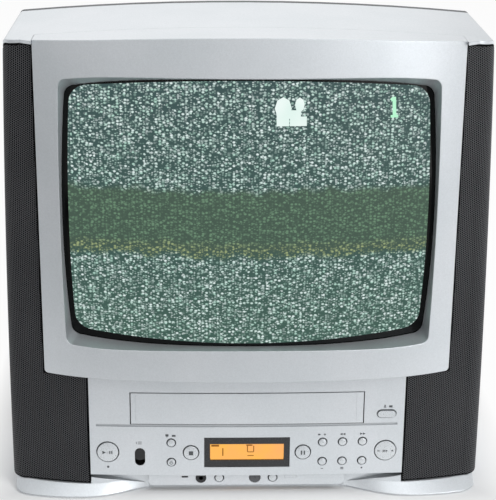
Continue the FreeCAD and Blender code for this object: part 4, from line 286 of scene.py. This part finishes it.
def pictureGlow():
    # phosphor behind glass: snow without a signal, with one dark green band
    material, tree, place = newMaterial("lit_phosphor")
    split = addNode(tree, "ShaderNodeSeparateXYZ", {"Vector": place})
    across, high = split.outputs["X"], split.outputs["Z"]

    def dots(cell, stretch, offset):
        where = addNode(tree, "ShaderNodeCombineXYZ", {
            "X": addNode(tree, "ShaderNodeMath", {0: across, 1: 1 / stretch},
                         operation="MULTIPLY").outputs[0],
            "Y": addNode(tree, "ShaderNodeMath", {0: high, 1: offset},
                         operation="ADD").outputs[0]})
        spots = addNode(tree, "ShaderNodeTexVoronoi", {
            "Vector": where.outputs[0], "Scale": 1000 / cell, "Randomness": 1.0},
            voronoi_dimensions="2D")
        parts = addNode(tree, "ShaderNodeSeparateColor", {"Color": spots.outputs["Color"]})
        body = ranged(tree, spots.outputs["Distance"], 1.0, 0.0, 0.22, 0.48)
        return body, parts

    def product(first, second):
        return addNode(tree, "ShaderNodeMath", {0: first, 1: second},
                       operation="MULTIPLY").outputs[0]

    coarse, coarseParts = dots(*picture["coarse"])
    fine, fineParts = dots(*picture["fine"])
    bright = product(coarse, ranged(tree, coarseParts.outputs[0], 0, 1, 0.42, 0.8))
    small = product(fine, ranged(tree, fineParts.outputs[0], 0, 0.75, 0.35, 0.95))
    snow = addNode(tree, "ShaderNodeMath", {0: bright, 1: small}, operation="MAXIMUM").outputs[0]
    ragged = addNode(tree, "ShaderNodeTexNoise", {"Vector": place, "Scale": 60.0, "Detail": 2.0})
    edge = addNode(tree, "ShaderNodeMath", {
        0: high, 1: ranged(tree, ragged.outputs[0], -picture["ragged"], picture["ragged"])},
        operation="ADD").outputs[0]

    def faded(start, end, middle, reach):
        return ranged(tree, edge, start, end,
                      *((picture[middle] + step) * mm for step in picture[reach]))

    band = product(faded(1, 0, "bandTop", "topEdge"), faded(0, 1, "bandBottom", "bottomEdge"))
    tail = product(faded(1, 0, "bandBottom", "tailTop"), faded(0, 1, "bandBottom", "tailBottom"))
    ground = addNode(tree, "ShaderNodeValToRGB", {
        "Fac": ranged(tree, high, 0, 1, *(level * mm for level in picture["ground"]))})
    ramp = ground.color_ramp.elements
    ramp[0].color = tone("#3f5c52")
    ramp[1].color = tone("#3c5252")
    quiet = addNode(tree, "ShaderNodeMix", {
        0: band, 6: ground.outputs[0], 7: tone("#46594d")}, data_type="RGBA").outputs[2]
    tint = addNode(tree, "ShaderNodeMix", {
        0: ranged(tree, coarseParts.outputs[1], 0, 1, 0, 1), 6: tone("#e4f2f0"),
        7: tone("#a9cfc0")}, data_type="RGBA").outputs[2]
    tint = addNode(tree, "ShaderNodeMix", {
        0: band, 6: tint, 7: tone("#6a8a70")}, data_type="RGBA").outputs[2]
    tint = addNode(tree, "ShaderNodeMix", {
        0: tail, 6: tint, 7: tone("#9aa878")}, data_type="RGBA").outputs[2]
    glow = addNode(tree, "ShaderNodeMix", {0: snow, 6: quiet, 7: tint}, data_type="RGBA")
    shader = addNode(tree, "ShaderNodeBsdfPrincipled", {
        "Base Color": tone("#0c100f"), "Roughness": 0.3, "IOR": 1.52,
        "Specular IOR Level": 0.08, "Emission Color": glow.outputs[2], "Emission Strength": 1.0})
    return closeMaterial(material, tree, shader)


materials["lit_phosphor"] = pictureGlow()


def glowing(name, first, second, strength, rough=0.4):
    # lit from inside, brighter in soft patches
    material, tree, place = newMaterial(name)
    soft = addNode(tree, "ShaderNodeTexNoise", {"Vector": place, "Scale": 45.0, "Detail": 1.0})
    shade = addNode(tree, "ShaderNodeMix", {
        0: ranged(tree, soft.outputs[0], 0, 1), 6: tone(first), 7: tone(second)},
        data_type="RGBA").outputs[2]
    shader = addNode(tree, "ShaderNodeBsdfPrincipled", {
        "Base Color": tone("#101010"), "Roughness": rough, "Specular IOR Level": 0.2,
        "Emission Color": shade, "Emission Strength": strength})
    return closeMaterial(material, tree, shader)


materials["screen_white"] = glowing("screen_white", "#f2fbf8", "#dff3ec", 1.0)
materials["screen_green"] = glowing("screen_green", "#9ff0c0", "#b8f5d0", 1.0)
materials["display_window"] = glowing("display_window", "#ffbe4a", "#ffb266", 1.0, 0.25)
materials["display_ink"] = grained("display_ink", {
    "colour": "#a5671f", "shade": "#98601c", "grain": 0.6, "relief": 0.001,
    "rough": (0.4, 0.5), "shine": 0.2})
print("materials:", len(materials))


# The CAD solids keep their meshes: they get a finish and smooth shading

def dressSolids():
    slots = {row["node"]: row["material_slot"] for row in frame["record"]["subparts"]}
    for name, solid in frame["nodes"].items():
        solid.data.materials.clear()
        solid.data.materials.append(materials[slots[name]])
        flags = np.ones(len(solid.data.polygons), bool)
        solid.data.polygons.foreach_set("use_smooth", flags)
        weld = solid.modifiers.new("joined", "WELD")
        weld.merge_threshold = 0.00001
        split = solid.modifiers.new("creases", "EDGE_SPLIT")
        split.split_angle = math.radians(28)


dressSolids()


# Small helpers for modelling

bpy.context.tool_settings.mesh_select_mode = (False, False, True)  # faces, from the first edit


def selectOnly(thing):
    bpy.ops.object.select_all(action="DESELECT")
    thing.select_set(True)
    bpy.context.view_layer.objects.active = thing


def settle(thing, name, material, body):
    # place goes into the mesh, then the piece rides on its body
    selectOnly(thing)
    bpy.ops.object.transform_apply(location=True, rotation=True, scale=True)
    thing.name = name
    thing.data.name = name
    thing.data.materials.clear()
    thing.data.materials.append(materials[material])
    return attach(thing, body)


def joined(things):
    bpy.ops.object.select_all(action="DESELECT")
    for thing in things:
        thing.select_set(True)
    bpy.context.view_layer.objects.active = things[0]
    if len(things) > 1:
        bpy.ops.object.join()
    return bpy.context.view_layer.objects.active


def shadeByAngle(thing, degrees=35):
    selectOnly(thing)
    bpy.ops.object.shade_smooth_by_angle(angle=math.radians(degrees))


def places(thing):
    points = np.empty(len(thing.data.vertices) * 3)
    thing.data.vertices.foreach_get("co", points)
    return points.reshape(-1, 3)


def putPlaces(thing, points):
    thing.data.vertices.foreach_set("co", np.ascontiguousarray(points, float).ravel())
    thing.data.update()


# Perforated steel over the grilles, wrapped round the curved corners

grille = {"pitch": 1.8, "web": 0.2, "proud": 0.22, "border": 1.0, "low": 10.3, "high": 379.1,
          "notch": 109.7, "inner": 130.3, "upperInner": 165.8, "cornerRadius": 14.0,
          "frontRadius": 420.0, "innerDepth": -166.0, "cornerDepth": -156.0, "sideDepth": -142.0,
          "flat": 185.5, "crown": 8.0, "edge": 4.0, "thick": 0.25, "shift": 0.4,
          "rows": 208, "columnPairs": 27,
          # half the case's width at the foot of its side, which leans in and bows out
          "widest": 196.5, "sideLow": 10, "sideHeight": 368, "lean": 7, "bow": 1.8}


def grillePlan(back, high, out):
    # from a distance along the plan, counted from the back edge, to a point and its depth
    share = (high - grille["sideLow"]) / grille["sideHeight"]
    half = grille["widest"] - grille["lean"] * share + grille["bow"] * 4 * share * (1 - share)
    radius, bend = grille["frontRadius"], grille["cornerRadius"]
    quarter = bend * math.pi / 2
    cornerX = half - bend
    turn = np.clip(back, 0, quarter) / bend
    cornerPoint = np.stack([cornerX + (bend + out) * np.cos(turn),
                            grille["sideDepth"] - (bend + out) * np.sin(turn)])
    startX, startY = grille["inner"], grille["innerDepth"]
    endX, endY = cornerX, grille["cornerDepth"]
    chordX, chordY = endX - startX, endY - startY
    chord = np.hypot(chordX, chordY)
    rise = np.sqrt(radius ** 2 - (chord / 2) ** 2)
    centreX = (startX + endX) / 2 - chordY / chord * rise
    centreY = (startY + endY) / 2 + chordX / chord * rise
    endAngle = np.arctan2(endY - centreY, endX - centreX)
    angle = endAngle - np.clip(back - quarter, 0, None) / radius
    facePoint = np.stack([centreX + (radius + out) * np.cos(angle),
                          centreY + (radius + out) * np.sin(angle)])
    return np.where(back < quarter, cornerPoint, facePoint)


def grilleCeiling(across):
    # the sheet ends under the lip, which follows the crowned top and turns down at the corner
    flat, crown, edge = grille["flat"], grille["crown"], grille["edge"]
    radius = (flat ** 2 + crown ** 2) / (2 * crown)
    top = grille["high"] + crown - radius + np.sqrt(radius ** 2 - np.minimum(across, flat) ** 2)
    return top - edge + np.sqrt(edge ** 2 - np.clip(across - flat, 0, edge) ** 2)


def perforatedSheet():
    pitch = grille["pitch"] * mm
    column = pitch * math.sqrt(3) / 2
    bpy.ops.object.select_all(action="DESELECT")
    bpy.ops.mesh.primitive_circle_add(vertices=6, radius=pitch / math.sqrt(3), fill_type="NGON",
                                      location=(0, 0, 0))
    cell = bpy.context.object
    bpy.ops.object.mode_set(mode="EDIT")
    bpy.ops.mesh.select_all(action="SELECT")
    bpy.ops.mesh.inset(thickness=grille["web"] * mm)
    deep = -grille["thick"] * mm
    bpy.ops.mesh.extrude_region_move(TRANSFORM_OT_translate={"value": (0, 0, deep)})
    bpy.ops.mesh.delete(type="FACE")
    bpy.ops.object.mode_set(mode="OBJECT")
    points = places(cell)
    if points[:, 1].max() > points[:, 0].max():
        points = points[:, [1, 0, 2]] * (-1, 1, 1)  # the holes stand in upright columns
        putPlaces(cell, points)
    for count, offset in ((grille["rows"], (0, pitch, 0)), (2, (column, pitch / 2, 0)),
                          (grille["columnPairs"], (2 * column, 0, 0))):
        selectOnly(cell)
        array = cell.modifiers.new("row", "ARRAY")
        array.use_relative_offset = False
        array.use_constant_offset = True
        array.constant_offset_displace = offset
        array.count = count
        bpy.ops.object.modifier_apply(modifier=array.name)
    return cell


def addGrille(side):
    sheet = perforatedSheet()
    selectOnly(sheet)
    bpy.ops.object.mode_set(mode="EDIT")
    bpy.ops.mesh.select_all(action="SELECT")
    bpy.ops.mesh.remove_doubles(threshold=0.01 * mm)
    bpy.ops.object.mode_set(mode="OBJECT")
    points = places(sheet) / mm
    shift = grille["shift"]
    back, high = points[:, 0] + shift, points[:, 1] + grille["low"] + shift
    plan = grillePlan(back, high, grille["proud"] + points[:, 2])
    plan[0] = np.minimum(plan[0], grille["widest"])
    border = grille["border"]
    inner = np.where(high > grille["notch"] - border, grille["upperInner"], grille["inner"]) + border
    inside = ((plan[0] > inner) & (back > border) & (high > grille["low"] + border)
              & (high < grilleCeiling(plan[0]) - border))
    loops = np.empty(len(sheet.data.loops), np.int32)
    sheet.data.loops.foreach_get("vertex_index", loops)
    keep = inside[loops].reshape(-1, 4).all(axis=1)
    sheet.data.polygons.foreach_set("select", ~keep)
    placed = np.stack([plan[0] * side, plan[1], high], axis=1) * mm
    putPlaces(sheet, placed)
    selectOnly(sheet)
    bpy.ops.object.mode_set(mode="EDIT")
    bpy.ops.mesh.select_mode(type="FACE")
    bpy.ops.mesh.delete(type="FACE")
    bpy.ops.mesh.select_all(action="SELECT")
    bpy.ops.mesh.delete_loose()
    bpy.ops.mesh.select_all(action="SELECT")
    if side > 0:
        bpy.ops.mesh.flip_normals()
    bpy.ops.object.mode_set(mode="OBJECT")
    name = "right_perforated_sheet" if side > 0 else "left_perforated_sheet"
    return settle(sheet, name, "grille_metal", "cabinet")


for side in (-1, 1):
    sheet = addGrille(side)
    print(sheet.name, "faces:", len(sheet.data.polygons))
for name in ("left_speaker_grille", "right_speaker_grille"):
    frame["nodes"][name].data.materials[0] = materials["grille_cloth"]
for name, finish in (("control_fascia", "fascia_shell"), ("remote_sensor", "sensor_window"),
                     ("control_board", "dark_board")):
    frame["nodes"][name].data.materials[0] = materials[finish]


# The lit picture on the glass, with a number and a tape sign in its corner

def onGlass(across, high, out=0.0):
    reach = picture["radius"] + out
    centre = picture["apex"] + picture["radius"]
    return centre - np.sqrt(reach ** 2 - across ** 2 - (high - picture["centre"]) ** 2)


def addPicture():
    bpy.ops.object.select_all(action="DESELECT")
    bpy.ops.mesh.primitive_grid_add(x_subdivisions=94, y_subdivisions=72, size=2)
    sheet = bpy.context.object
    points = places(sheet)
    s, t = points[:, 0], points[:, 1]
    cornerS = picture["corner"] / picture["halfMiddle"]
    cornerT = 2 * picture["corner"] / (picture["topMiddle"] - picture["bottomMiddle"])
    a = np.clip((abs(s) - 1 + cornerS) / cornerS, 0, 1)
    b = np.clip((abs(t) - 1 + cornerT) / cornerT, 0, 1)
    roundA, roundB = a * np.sqrt(1 - b * b / 2), b * np.sqrt(1 - a * a / 2)
    s = np.sign(s) * np.where(a > 0, 1 - cornerS + roundA * cornerS, abs(s))
    t = np.sign(t) * np.where(b > 0, 1 - cornerT + roundB * cornerT, abs(t))
    across = s * (picture["halfMiddle"] - (picture["halfMiddle"] - picture["halfCorner"]) * t ** 2)
    top = picture["topMiddle"] - (picture["topMiddle"] - picture["topCorner"]) * s ** 2
    bottom = picture["bottomMiddle"] + (picture["bottomCorner"] - picture["bottomMiddle"]) * s ** 2
    high = (top + bottom) / 2 + t * (top - bottom) / 2
    depth = onGlass(across, high, picture["proud"])
    putPlaces(sheet, np.stack([across, depth, high], axis=1) * mm)
    selectOnly(sheet)
    bpy.ops.object.mode_set(mode="EDIT")
    bpy.ops.mesh.select_all(action="SELECT")
    bpy.ops.mesh.normals_make_consistent(inside=False)
    bpy.ops.object.mode_set(mode="OBJECT")
    if sheet.data.polygons[0].normal.y > 0:
        selectOnly(sheet)
        bpy.ops.object.mode_set(mode="EDIT")
        bpy.ops.mesh.flip_normals()
        bpy.ops.object.mode_set(mode="OBJECT")
    bpy.ops.object.shade_smooth()
    return settle(sheet, "lit_picture", "lit_phosphor", "cabinet")


addPicture()


# Flat signs: each is a row of thin prisms, laid on the surface that carries it

def onFascia(across, out=0.0):
    radius = fasciaFace["radius"]
    return front / mm - fasciaFace["proud"] + radius - math.sqrt(radius ** 2 - across ** 2) - out


def turned(points, degrees):
    angle = math.radians(degrees)
    x, y = points[:, 0].copy(), points[:, 1].copy()
    points[:, 0] = x * math.cos(angle) - y * math.sin(angle)
    points[:, 1] = x * math.sin(angle) + y * math.cos(angle)
    return points


def prism(sides, across, high, wide, tall, depth, turn=0.0, thick=0.12):
    bpy.ops.object.select_all(action="DESELECT")
    bpy.ops.mesh.primitive_cylinder_add(vertices=sides, radius=mm, depth=thick * mm,
                                        location=(0, 0, 0))
    piece = bpy.context.object
    points = places(piece)
    if sides == 4:
        points = turned(points, 45)  # a bar, whose corners lie at 45 degrees to its axes
    low, top = points.min(axis=0), points.max(axis=0)
    # stretched to its size here, whatever the primitive's own
    points = (points - (low + top) / 2) / (top - low) * (wide * mm, tall * mm, thick * mm)
    points = turned(points, turn)
    placed = np.stack([points[:, 0] + across * mm, -points[:, 2] + depth * mm,
                       points[:, 1] + high * mm], axis=1)
    putPlaces(piece, placed)
    return piece


def ringed(across, high, radius, width, depth, start=0, sweep=360, thick=0.12, overlap=1.12):
    # a thin flat ring, or a part of one, from short bars that overlap a little
    steps = max(6, int(sweep / 15))
    pieces = []
    for step in range(steps):
        angle = math.radians(start + sweep * (step + 0.5) / steps)
        length = 2 * radius * math.sin(math.radians(sweep / steps / 2)) * overlap
        pieces.append(prism(4, across + radius * math.cos(angle), high + radius * math.sin(angle),
                            width, length, depth, math.degrees(angle), thick))
    return pieces


def sign(name, body, ink, pieces):
    return settle(joined(pieces), name, ink, body)


def arrow(across, high, size, depth, turn=0):
    # a triangle that points right; the prism's own corner points up the height
    return prism(3, across, high, size, size, depth, turn - 90)


def draped(pieces):
    # pieces made at no depth, laid on the curved glass corner by corner
    for piece in pieces:
        points = places(piece) / mm
        points[:, 1] += onGlass(points[:, 0], points[:, 2], picture["signsProud"])
        putPlaces(piece, points * mm)
    return pieces


lift = {"plate": 0.04, "key": 1.44}  # how far a sign stands before the bowed face


def onPlate(across):
    return onFascia(across, lift["plate"])


def onKey(across):
    return onFascia(across, lift["key"])


keyRow, upperRow, lowerRow = 40.3, 49.2, 31.4  # heights of the keys' middles

sign("play_sign", "play_button_body", "grey_ink", [
    arrow(-118.2, keyRow, 3.0, onKey(-118)), prism(4, -113.6, keyRow, 0.9, 2.6, onKey(-114)),
    prism(4, -111.9, keyRow, 0.9, 2.6, onKey(-112))])
sign("stop_sign", "stop_button_body", "grey_ink", [prism(4, -46.4, keyRow, 3.6, 3.6, onKey(46.4))])
sign("pause_sign", "pause_button_body", "grey_ink", [
    prism(4, 45.2, keyRow, 1.1, 3.8, onKey(46.4)), prism(4, 47.6, keyRow, 1.1, 3.8, onKey(46.4))])
sign("power_sign", "power_button_body", "grey_ink",
     ringed(-62.7, 31.3, 1.25, 0.35, onKey(62.7), 115, 310) +
     [prism(4, -62.7, 32.3, 0.4, 1.3, onKey(62.7))])
sign("rocker_sign", "rocker", "grey_ink", [
    prism(4, 109.6, keyRow, 2.0, 0.55, onKey(110)), prism(4, 121.0, keyRow, 2.0, 0.55, onKey(121)),
    prism(4, 121.0, keyRow, 0.55, 2.0, onKey(121)), arrow(116.5, keyRow, 2.0, onKey(116)),
    prism(4, 114.4, keyRow, 0.7, 2.0, onKey(114)), prism(4, 113.4, keyRow, 0.7, 2.0, onKey(113))])
sign("fascia_signs", "cabinet", "grey_ink", [
    # over the source key: a screen and a tape
    prism(4, -66.2, 56.0, 2.6, 1.9, onPlate(66)), prism(4, -66.2, 54.6, 1.4, 0.4, onPlate(66)),
    prism(4, -60.6, 55.6, 3.0, 1.7, onPlate(61)),
    # over and under the volume keys: a speaker with a plus and a minus
    prism(4, 59.2, 56.1, 0.9, 1.1, onPlate(59)), arrow(60.2, 56.1, 1.9, onPlate(60)),
    prism(4, 64.4, 56.1, 2.0, 0.5, onPlate(64)), prism(4, 64.4, 56.1, 0.5, 2.0, onPlate(64)),
    prism(4, 62.7, 24.6, 2.0, 0.5, onPlate(63)),
    # over the search keys
    arrow(78.0, 56.1, 2.2, onPlate(78), 180), arrow(80.4, 56.1, 2.2, onPlate(80), 180),
    arrow(94.8, 56.1, 2.2, onPlate(95)), arrow(97.2, 56.1, 2.2, onPlate(97)),
    # under the menu and memory keys
    prism(4, 79.3, 25.4, 2.6, 0.4, onPlate(79)), prism(4, 79.3, 24.6, 2.6, 0.4, onPlate(79)),
    prism(4, 79.3, 23.8, 2.6, 0.4, onPlate(79)),
    prism(12, 95.9, 24.6, 1.5, 1.5, onPlate(96)),
    # over the eject key
    arrow(113.6, 81.3, 2.2, onPlate(114), 90), prism(4, 113.6, 79.4, 2.2, 0.5, onPlate(114)),
    prism(4, 118.4, 80.4, 2.8, 1.8, onPlate(118))])
sign("record_sign", "cabinet", "grey_ink", [prism(16, -115.3, 26.4, 2.0, 2.0, onPlate(115))])
sign("slide_sign", "cabinet", "grey_ink",
     [prism(4, -88.7, 48.0, 3.2, 0.5, onPlate(89)), prism(4, -88.7, 49.6, 3.2, 0.5, onPlate(89)),
      prism(4, -91.6, 48.8, 0.5, 2.0, onPlate(92))])
sign("door_ribs", "door", "silver_shell", [
    prism(4, -91.7, 80.0, 0.5, 24.0, onFascia(91.7, 0.02)),
    prism(4, 89.9, 80.0, 0.5, 24.0, onFascia(89.9, 0.02))])

# what the picture shows besides snow
sign("channel_number", "cabinet", "screen_green", draped([
    prism(4, 111.2, 333.0, 2.8, 15.0, 0, 2), prism(4, 109.4, 338.8, 2.6, 2.4, 0, 40),
    prism(4, 111.4, 325.8, 6.0, 2.0, 0)]))
sign("tape_icon", "cabinet", "screen_white", draped([
    prism(8, 25.0, 334.0, 13.0, 17.0, 0), prism(4, 24.8, 324.6, 9.6, 8.0, 0),
    prism(8, 37.6, 336.6, 7.4, 11.0, 0), prism(4, 34.0, 329.4, 9.0, 6.4, 0),
    prism(4, 36.6, 324.2, 13.0, 7.2, 0)]))

# what the display shows
displayFace, inkLift = -169.3, 0.05
windowDepth = displayFace - inkLift
sign("display_digits", "cabinet", "display_ink", [
    prism(4, -20.0, 40.0, 1.0, 7.0, windowDepth), prism(4, 3.0, 40.0, 5.2, 0.7, windowDepth),
    prism(4, 0.4, 43.0, 0.8, 5.4, windowDepth), prism(4, 5.6, 43.0, 0.8, 5.4, windowDepth),
    prism(4, 3.0, 36.6, 5.2, 0.7, windowDepth), prism(4, -26.4, 45.9, 6.4, 1.7, windowDepth),
    prism(4, 2.0, 46.2, 5.0, 1.2, windowDepth)])
print("signs laid on")


# Coloured collars in the phono sockets and a nickel sleeve on the aerial socket

sockets = {"rows": (46.0, 66.0), "columns": (66.0, 80.0, 94.0), "radius": 4.2, "end": 181.4,
           "wall": 0.9, "room": 0.02, "sunk": 0.9, "length": 1.6,
           "colours": ("yellow_plastic", "white_plastic", "red_plastic")}
aerialSleeve = {"across": 124.0, "high": 56.0, "depth": 181.9, "outer": 4.7, "inner": 3.65,
                "length": 0.9}


def collar(across, high, depth, outer, inner, length):
    bpy.ops.object.select_all(action="DESELECT")
    bpy.ops.mesh.primitive_cylinder_add(vertices=32, radius=outer * mm, depth=length * mm,
                                        location=(0, 0, 0), end_fill_type="NGON")
    piece = bpy.context.object
    bpy.ops.object.mode_set(mode="EDIT")
    bpy.ops.mesh.select_mode(type="FACE")
    bpy.ops.mesh.select_all(action="DESELECT")
    bpy.ops.object.mode_set(mode="OBJECT")
    for face in piece.data.polygons:
        face.select = abs(face.normal.z) > 0.9  # both end faces
    bpy.ops.object.mode_set(mode="EDIT")
    bpy.ops.mesh.inset(thickness=(outer - inner) * mm)
    bpy.ops.mesh.bridge_edge_loops()
    bpy.ops.object.mode_set(mode="OBJECT")
    points = places(piece)
    putPlaces(piece, np.stack([points[:, 0] + across * mm, points[:, 2] + depth * mm,
                               points[:, 1] + high * mm], axis=1))
    selectOnly(piece)
    bpy.ops.object.mode_set(mode="EDIT")
    bpy.ops.mesh.select_all(action="SELECT")
    bpy.ops.mesh.normals_make_consistent(inside=False)
    bpy.ops.object.mode_set(mode="OBJECT")
    shadeByAngle(piece)
    return piece


for across, colour in zip(sockets["columns"], sockets["colours"]):
    rings = [collar(across, high, sockets["end"] - sockets["sunk"],
                    sockets["radius"] + sockets["wall"], sockets["radius"] + sockets["room"],
                    sockets["length"]) for high in sockets["rows"]]
    settle(joined(rings), "socket_collars_" + colour.split("_")[0], colour, "cabinet")
settle(collar(**aerialSleeve), "aerial_socket_sleeve", "nickel", "cabinet")


# Dark liners in the gaps round the keys: painted shade, dark rings that stand in for the shadow in the
# gaps

liners = {"gap": 0.9, "room": 0.12, "sunk": 1.3, "length": 0.8, "stripDepth": -165.0,
          "keys": [(-115.3, keyRow, 8.6), (-46.4, keyRow, 6.0), (46.4, keyRow, 6.0),
                   (-62.7, upperRow, 3.1), (-62.7, lowerRow, 3.1)] +
                  [(across, high, 3.1) for across in (62.7, 79.3, 95.9) for high in (upperRow, lowerRow)],
          "stripKeys": [(-22.9, 13.9, 3.2), (21.9, 13.9, 3.2)]}


def liner(across, high, radius, depth):
    return collar(across, high, depth + liners["sunk"], radius + liners["gap"] - liners["room"],
                  radius + liners["room"], liners["length"])


settle(joined([liner(*key, onFascia(key[0])) for key in liners["keys"]] +
              [liner(*key, liners["stripDepth"]) for key in liners["stripKeys"]]),
       "key_gap_shade_liners", "dark_plastic", "cabinet")
print("sockets and liners placed")


# Stage: pale floor, soft studio light

stage = {"fill": 0.32, "floor": "#f4f5f6", "white": 0.95,
         # the floor's glow that the case mirrors: strengths from and to, at places from and to
         "near": (0.0, 1.1, -0.82, -0.25), "far": (0.8, 0.0, -1.2, -0.88),
         "right": (0.1, 0.6, -0.3, 0.7),
         # where the case stands: middle and half its size, and the width of the soft edge of the painted
         # shade round it
         "stand": (("X", 0.0, 0.193), ("Y", 0.02, 0.182)), "softEdge": 0.045,
         # place, aim, width, watts
         "lamps": [((1.35, -1.5, 1.5), (0, 0, 0.2), 1.2, 24.0),
                   ((0.85, -1.4, 0.18), (0.15, -0.15, 0.37), 0.8, 3.6),
                   ((-0.1, -0.9, 1.9), (0, -0.15, 0.1), 1.6, 8.5),
                   ((-0.2, 1.3, 1.35), (0, 0, 0.35), 1.6, 4.6)]}


def addStage():
    bpy.ops.object.select_all(action="DESELECT")
    bpy.ops.mesh.primitive_plane_add(size=16, location=(0, 0, 0))
    floor = bpy.context.object
    floor.name = "floor"
    material, tree, place = newMaterial("studio_floor")
    path = addNode(tree, "ShaderNodeLightPath")
    seen = addNode(tree, "ShaderNodeMath", {0: path.outputs["Is Camera Ray"],
                                            1: path.outputs["Is Transmission Ray"]},
                   operation="MAXIMUM")
    # what the case mirrors: the floor is brightest near it, dull farther out, and brighter
    # again far out and to the right, as under a window
    split = addNode(tree, "ShaderNodeSeparateXYZ", {"Vector": place})
    near = ranged(tree, split.outputs["Y"], *stage["near"])
    far = ranged(tree, split.outputs["Y"], *stage["far"])
    right = ranged(tree, split.outputs["X"], *stage["right"])
    outer = addNode(tree, "ShaderNodeMath", {0: near, 1: far}, operation="ADD")
    strength = addNode(tree, "ShaderNodeMath", {0: outer.outputs[0], 1: right}, operation="ADD")
    # white away from the case; close to it the white fades to plain paper, a painted shade round its foot
    # on top of its real soft shadow
    sides = []
    for socket, middle, half in stage["stand"]:
        away = addNode(tree, "ShaderNodeMath", {0: split.outputs[socket], 1: middle},
                       operation="SUBTRACT")
        away = addNode(tree, "ShaderNodeMath", {0: away.outputs[0]}, operation="ABSOLUTE")
        sides.append(addNode(tree, "ShaderNodeMath", {0: away.outputs[0], 1: half},
                             operation="SUBTRACT").outputs[0])
    apart = addNode(tree, "ShaderNodeMath", {0: sides[0], 1: sides[1]}, operation="MAXIMUM")
    outside = ranged(tree, apart.outputs[0], 0.0, stage["white"], 0.0, stage["softEdge"])
    share = addNode(tree, "ShaderNodeMath", {0: seen.outputs[0], 1: outside},
                    operation="MULTIPLY")
    dull = addNode(tree, "ShaderNodeBsdfDiffuse", {"Color": tone(stage["floor"])})
    lit = addNode(tree, "ShaderNodeEmission", {"Color": (1, 1, 1, 1), "Strength": 1.0})
    image = addNode(tree, "ShaderNodeEmission", {"Color": (1, 1, 1, 1),
                                                 "Strength": strength.outputs[0]})
    mixed = addNode(tree, "ShaderNodeMixShader", {0: share.outputs[0], 1: dull.outputs[0],
                                                  2: lit.outputs[0]})
    mixed = addNode(tree, "ShaderNodeMixShader", {0: path.outputs["Is Glossy Ray"],
                                                  1: mixed.outputs[0], 2: image.outputs[0]})
    floor.data.materials.append(closeMaterial(material, tree, mixed))

    world = bpy.data.worlds.new("studio")
    world.use_nodes = True
    tree = world.node_tree
    tree.nodes.clear()
    path = addNode(tree, "ShaderNodeLightPath")
    seen = addNode(tree, "ShaderNodeMath", {0: path.outputs["Is Camera Ray"],
                                            1: path.outputs["Is Glossy Ray"]}, operation="MAXIMUM")
    seen = addNode(tree, "ShaderNodeMath", {0: seen.outputs[0],
                                            1: path.outputs["Is Transmission Ray"]},
                   operation="MAXIMUM")
    strength = addNode(tree, "ShaderNodeMapRange", {"Value": seen.outputs[0], "To Min": stage["fill"],
                                                    "To Max": 1.0})
    glow = addNode(tree, "ShaderNodeBackground", {"Color": (1, 1, 1, 1),
                                                  "Strength": strength.outputs[0]})
    addNode(tree, "ShaderNodeOutputWorld", {"Surface": glow.outputs[0]})
    bpy.context.scene.world = world

    for number, (place, target, width, watts) in enumerate(stage["lamps"]):
        data = bpy.data.lights.new("soft_box_" + str(number), "AREA")
        data.shape = "SQUARE"
        data.size = width
        data.energy = watts
        lamp = bpy.data.objects.new(data.name, data)
        bpy.context.scene.collection.objects.link(lamp)
        lamp.location = place
        aim = Vector(target) - Vector(place)
        lamp.rotation_euler = aim.to_track_quat("-Z", "Y").to_euler()


addStage()
print("stage set")
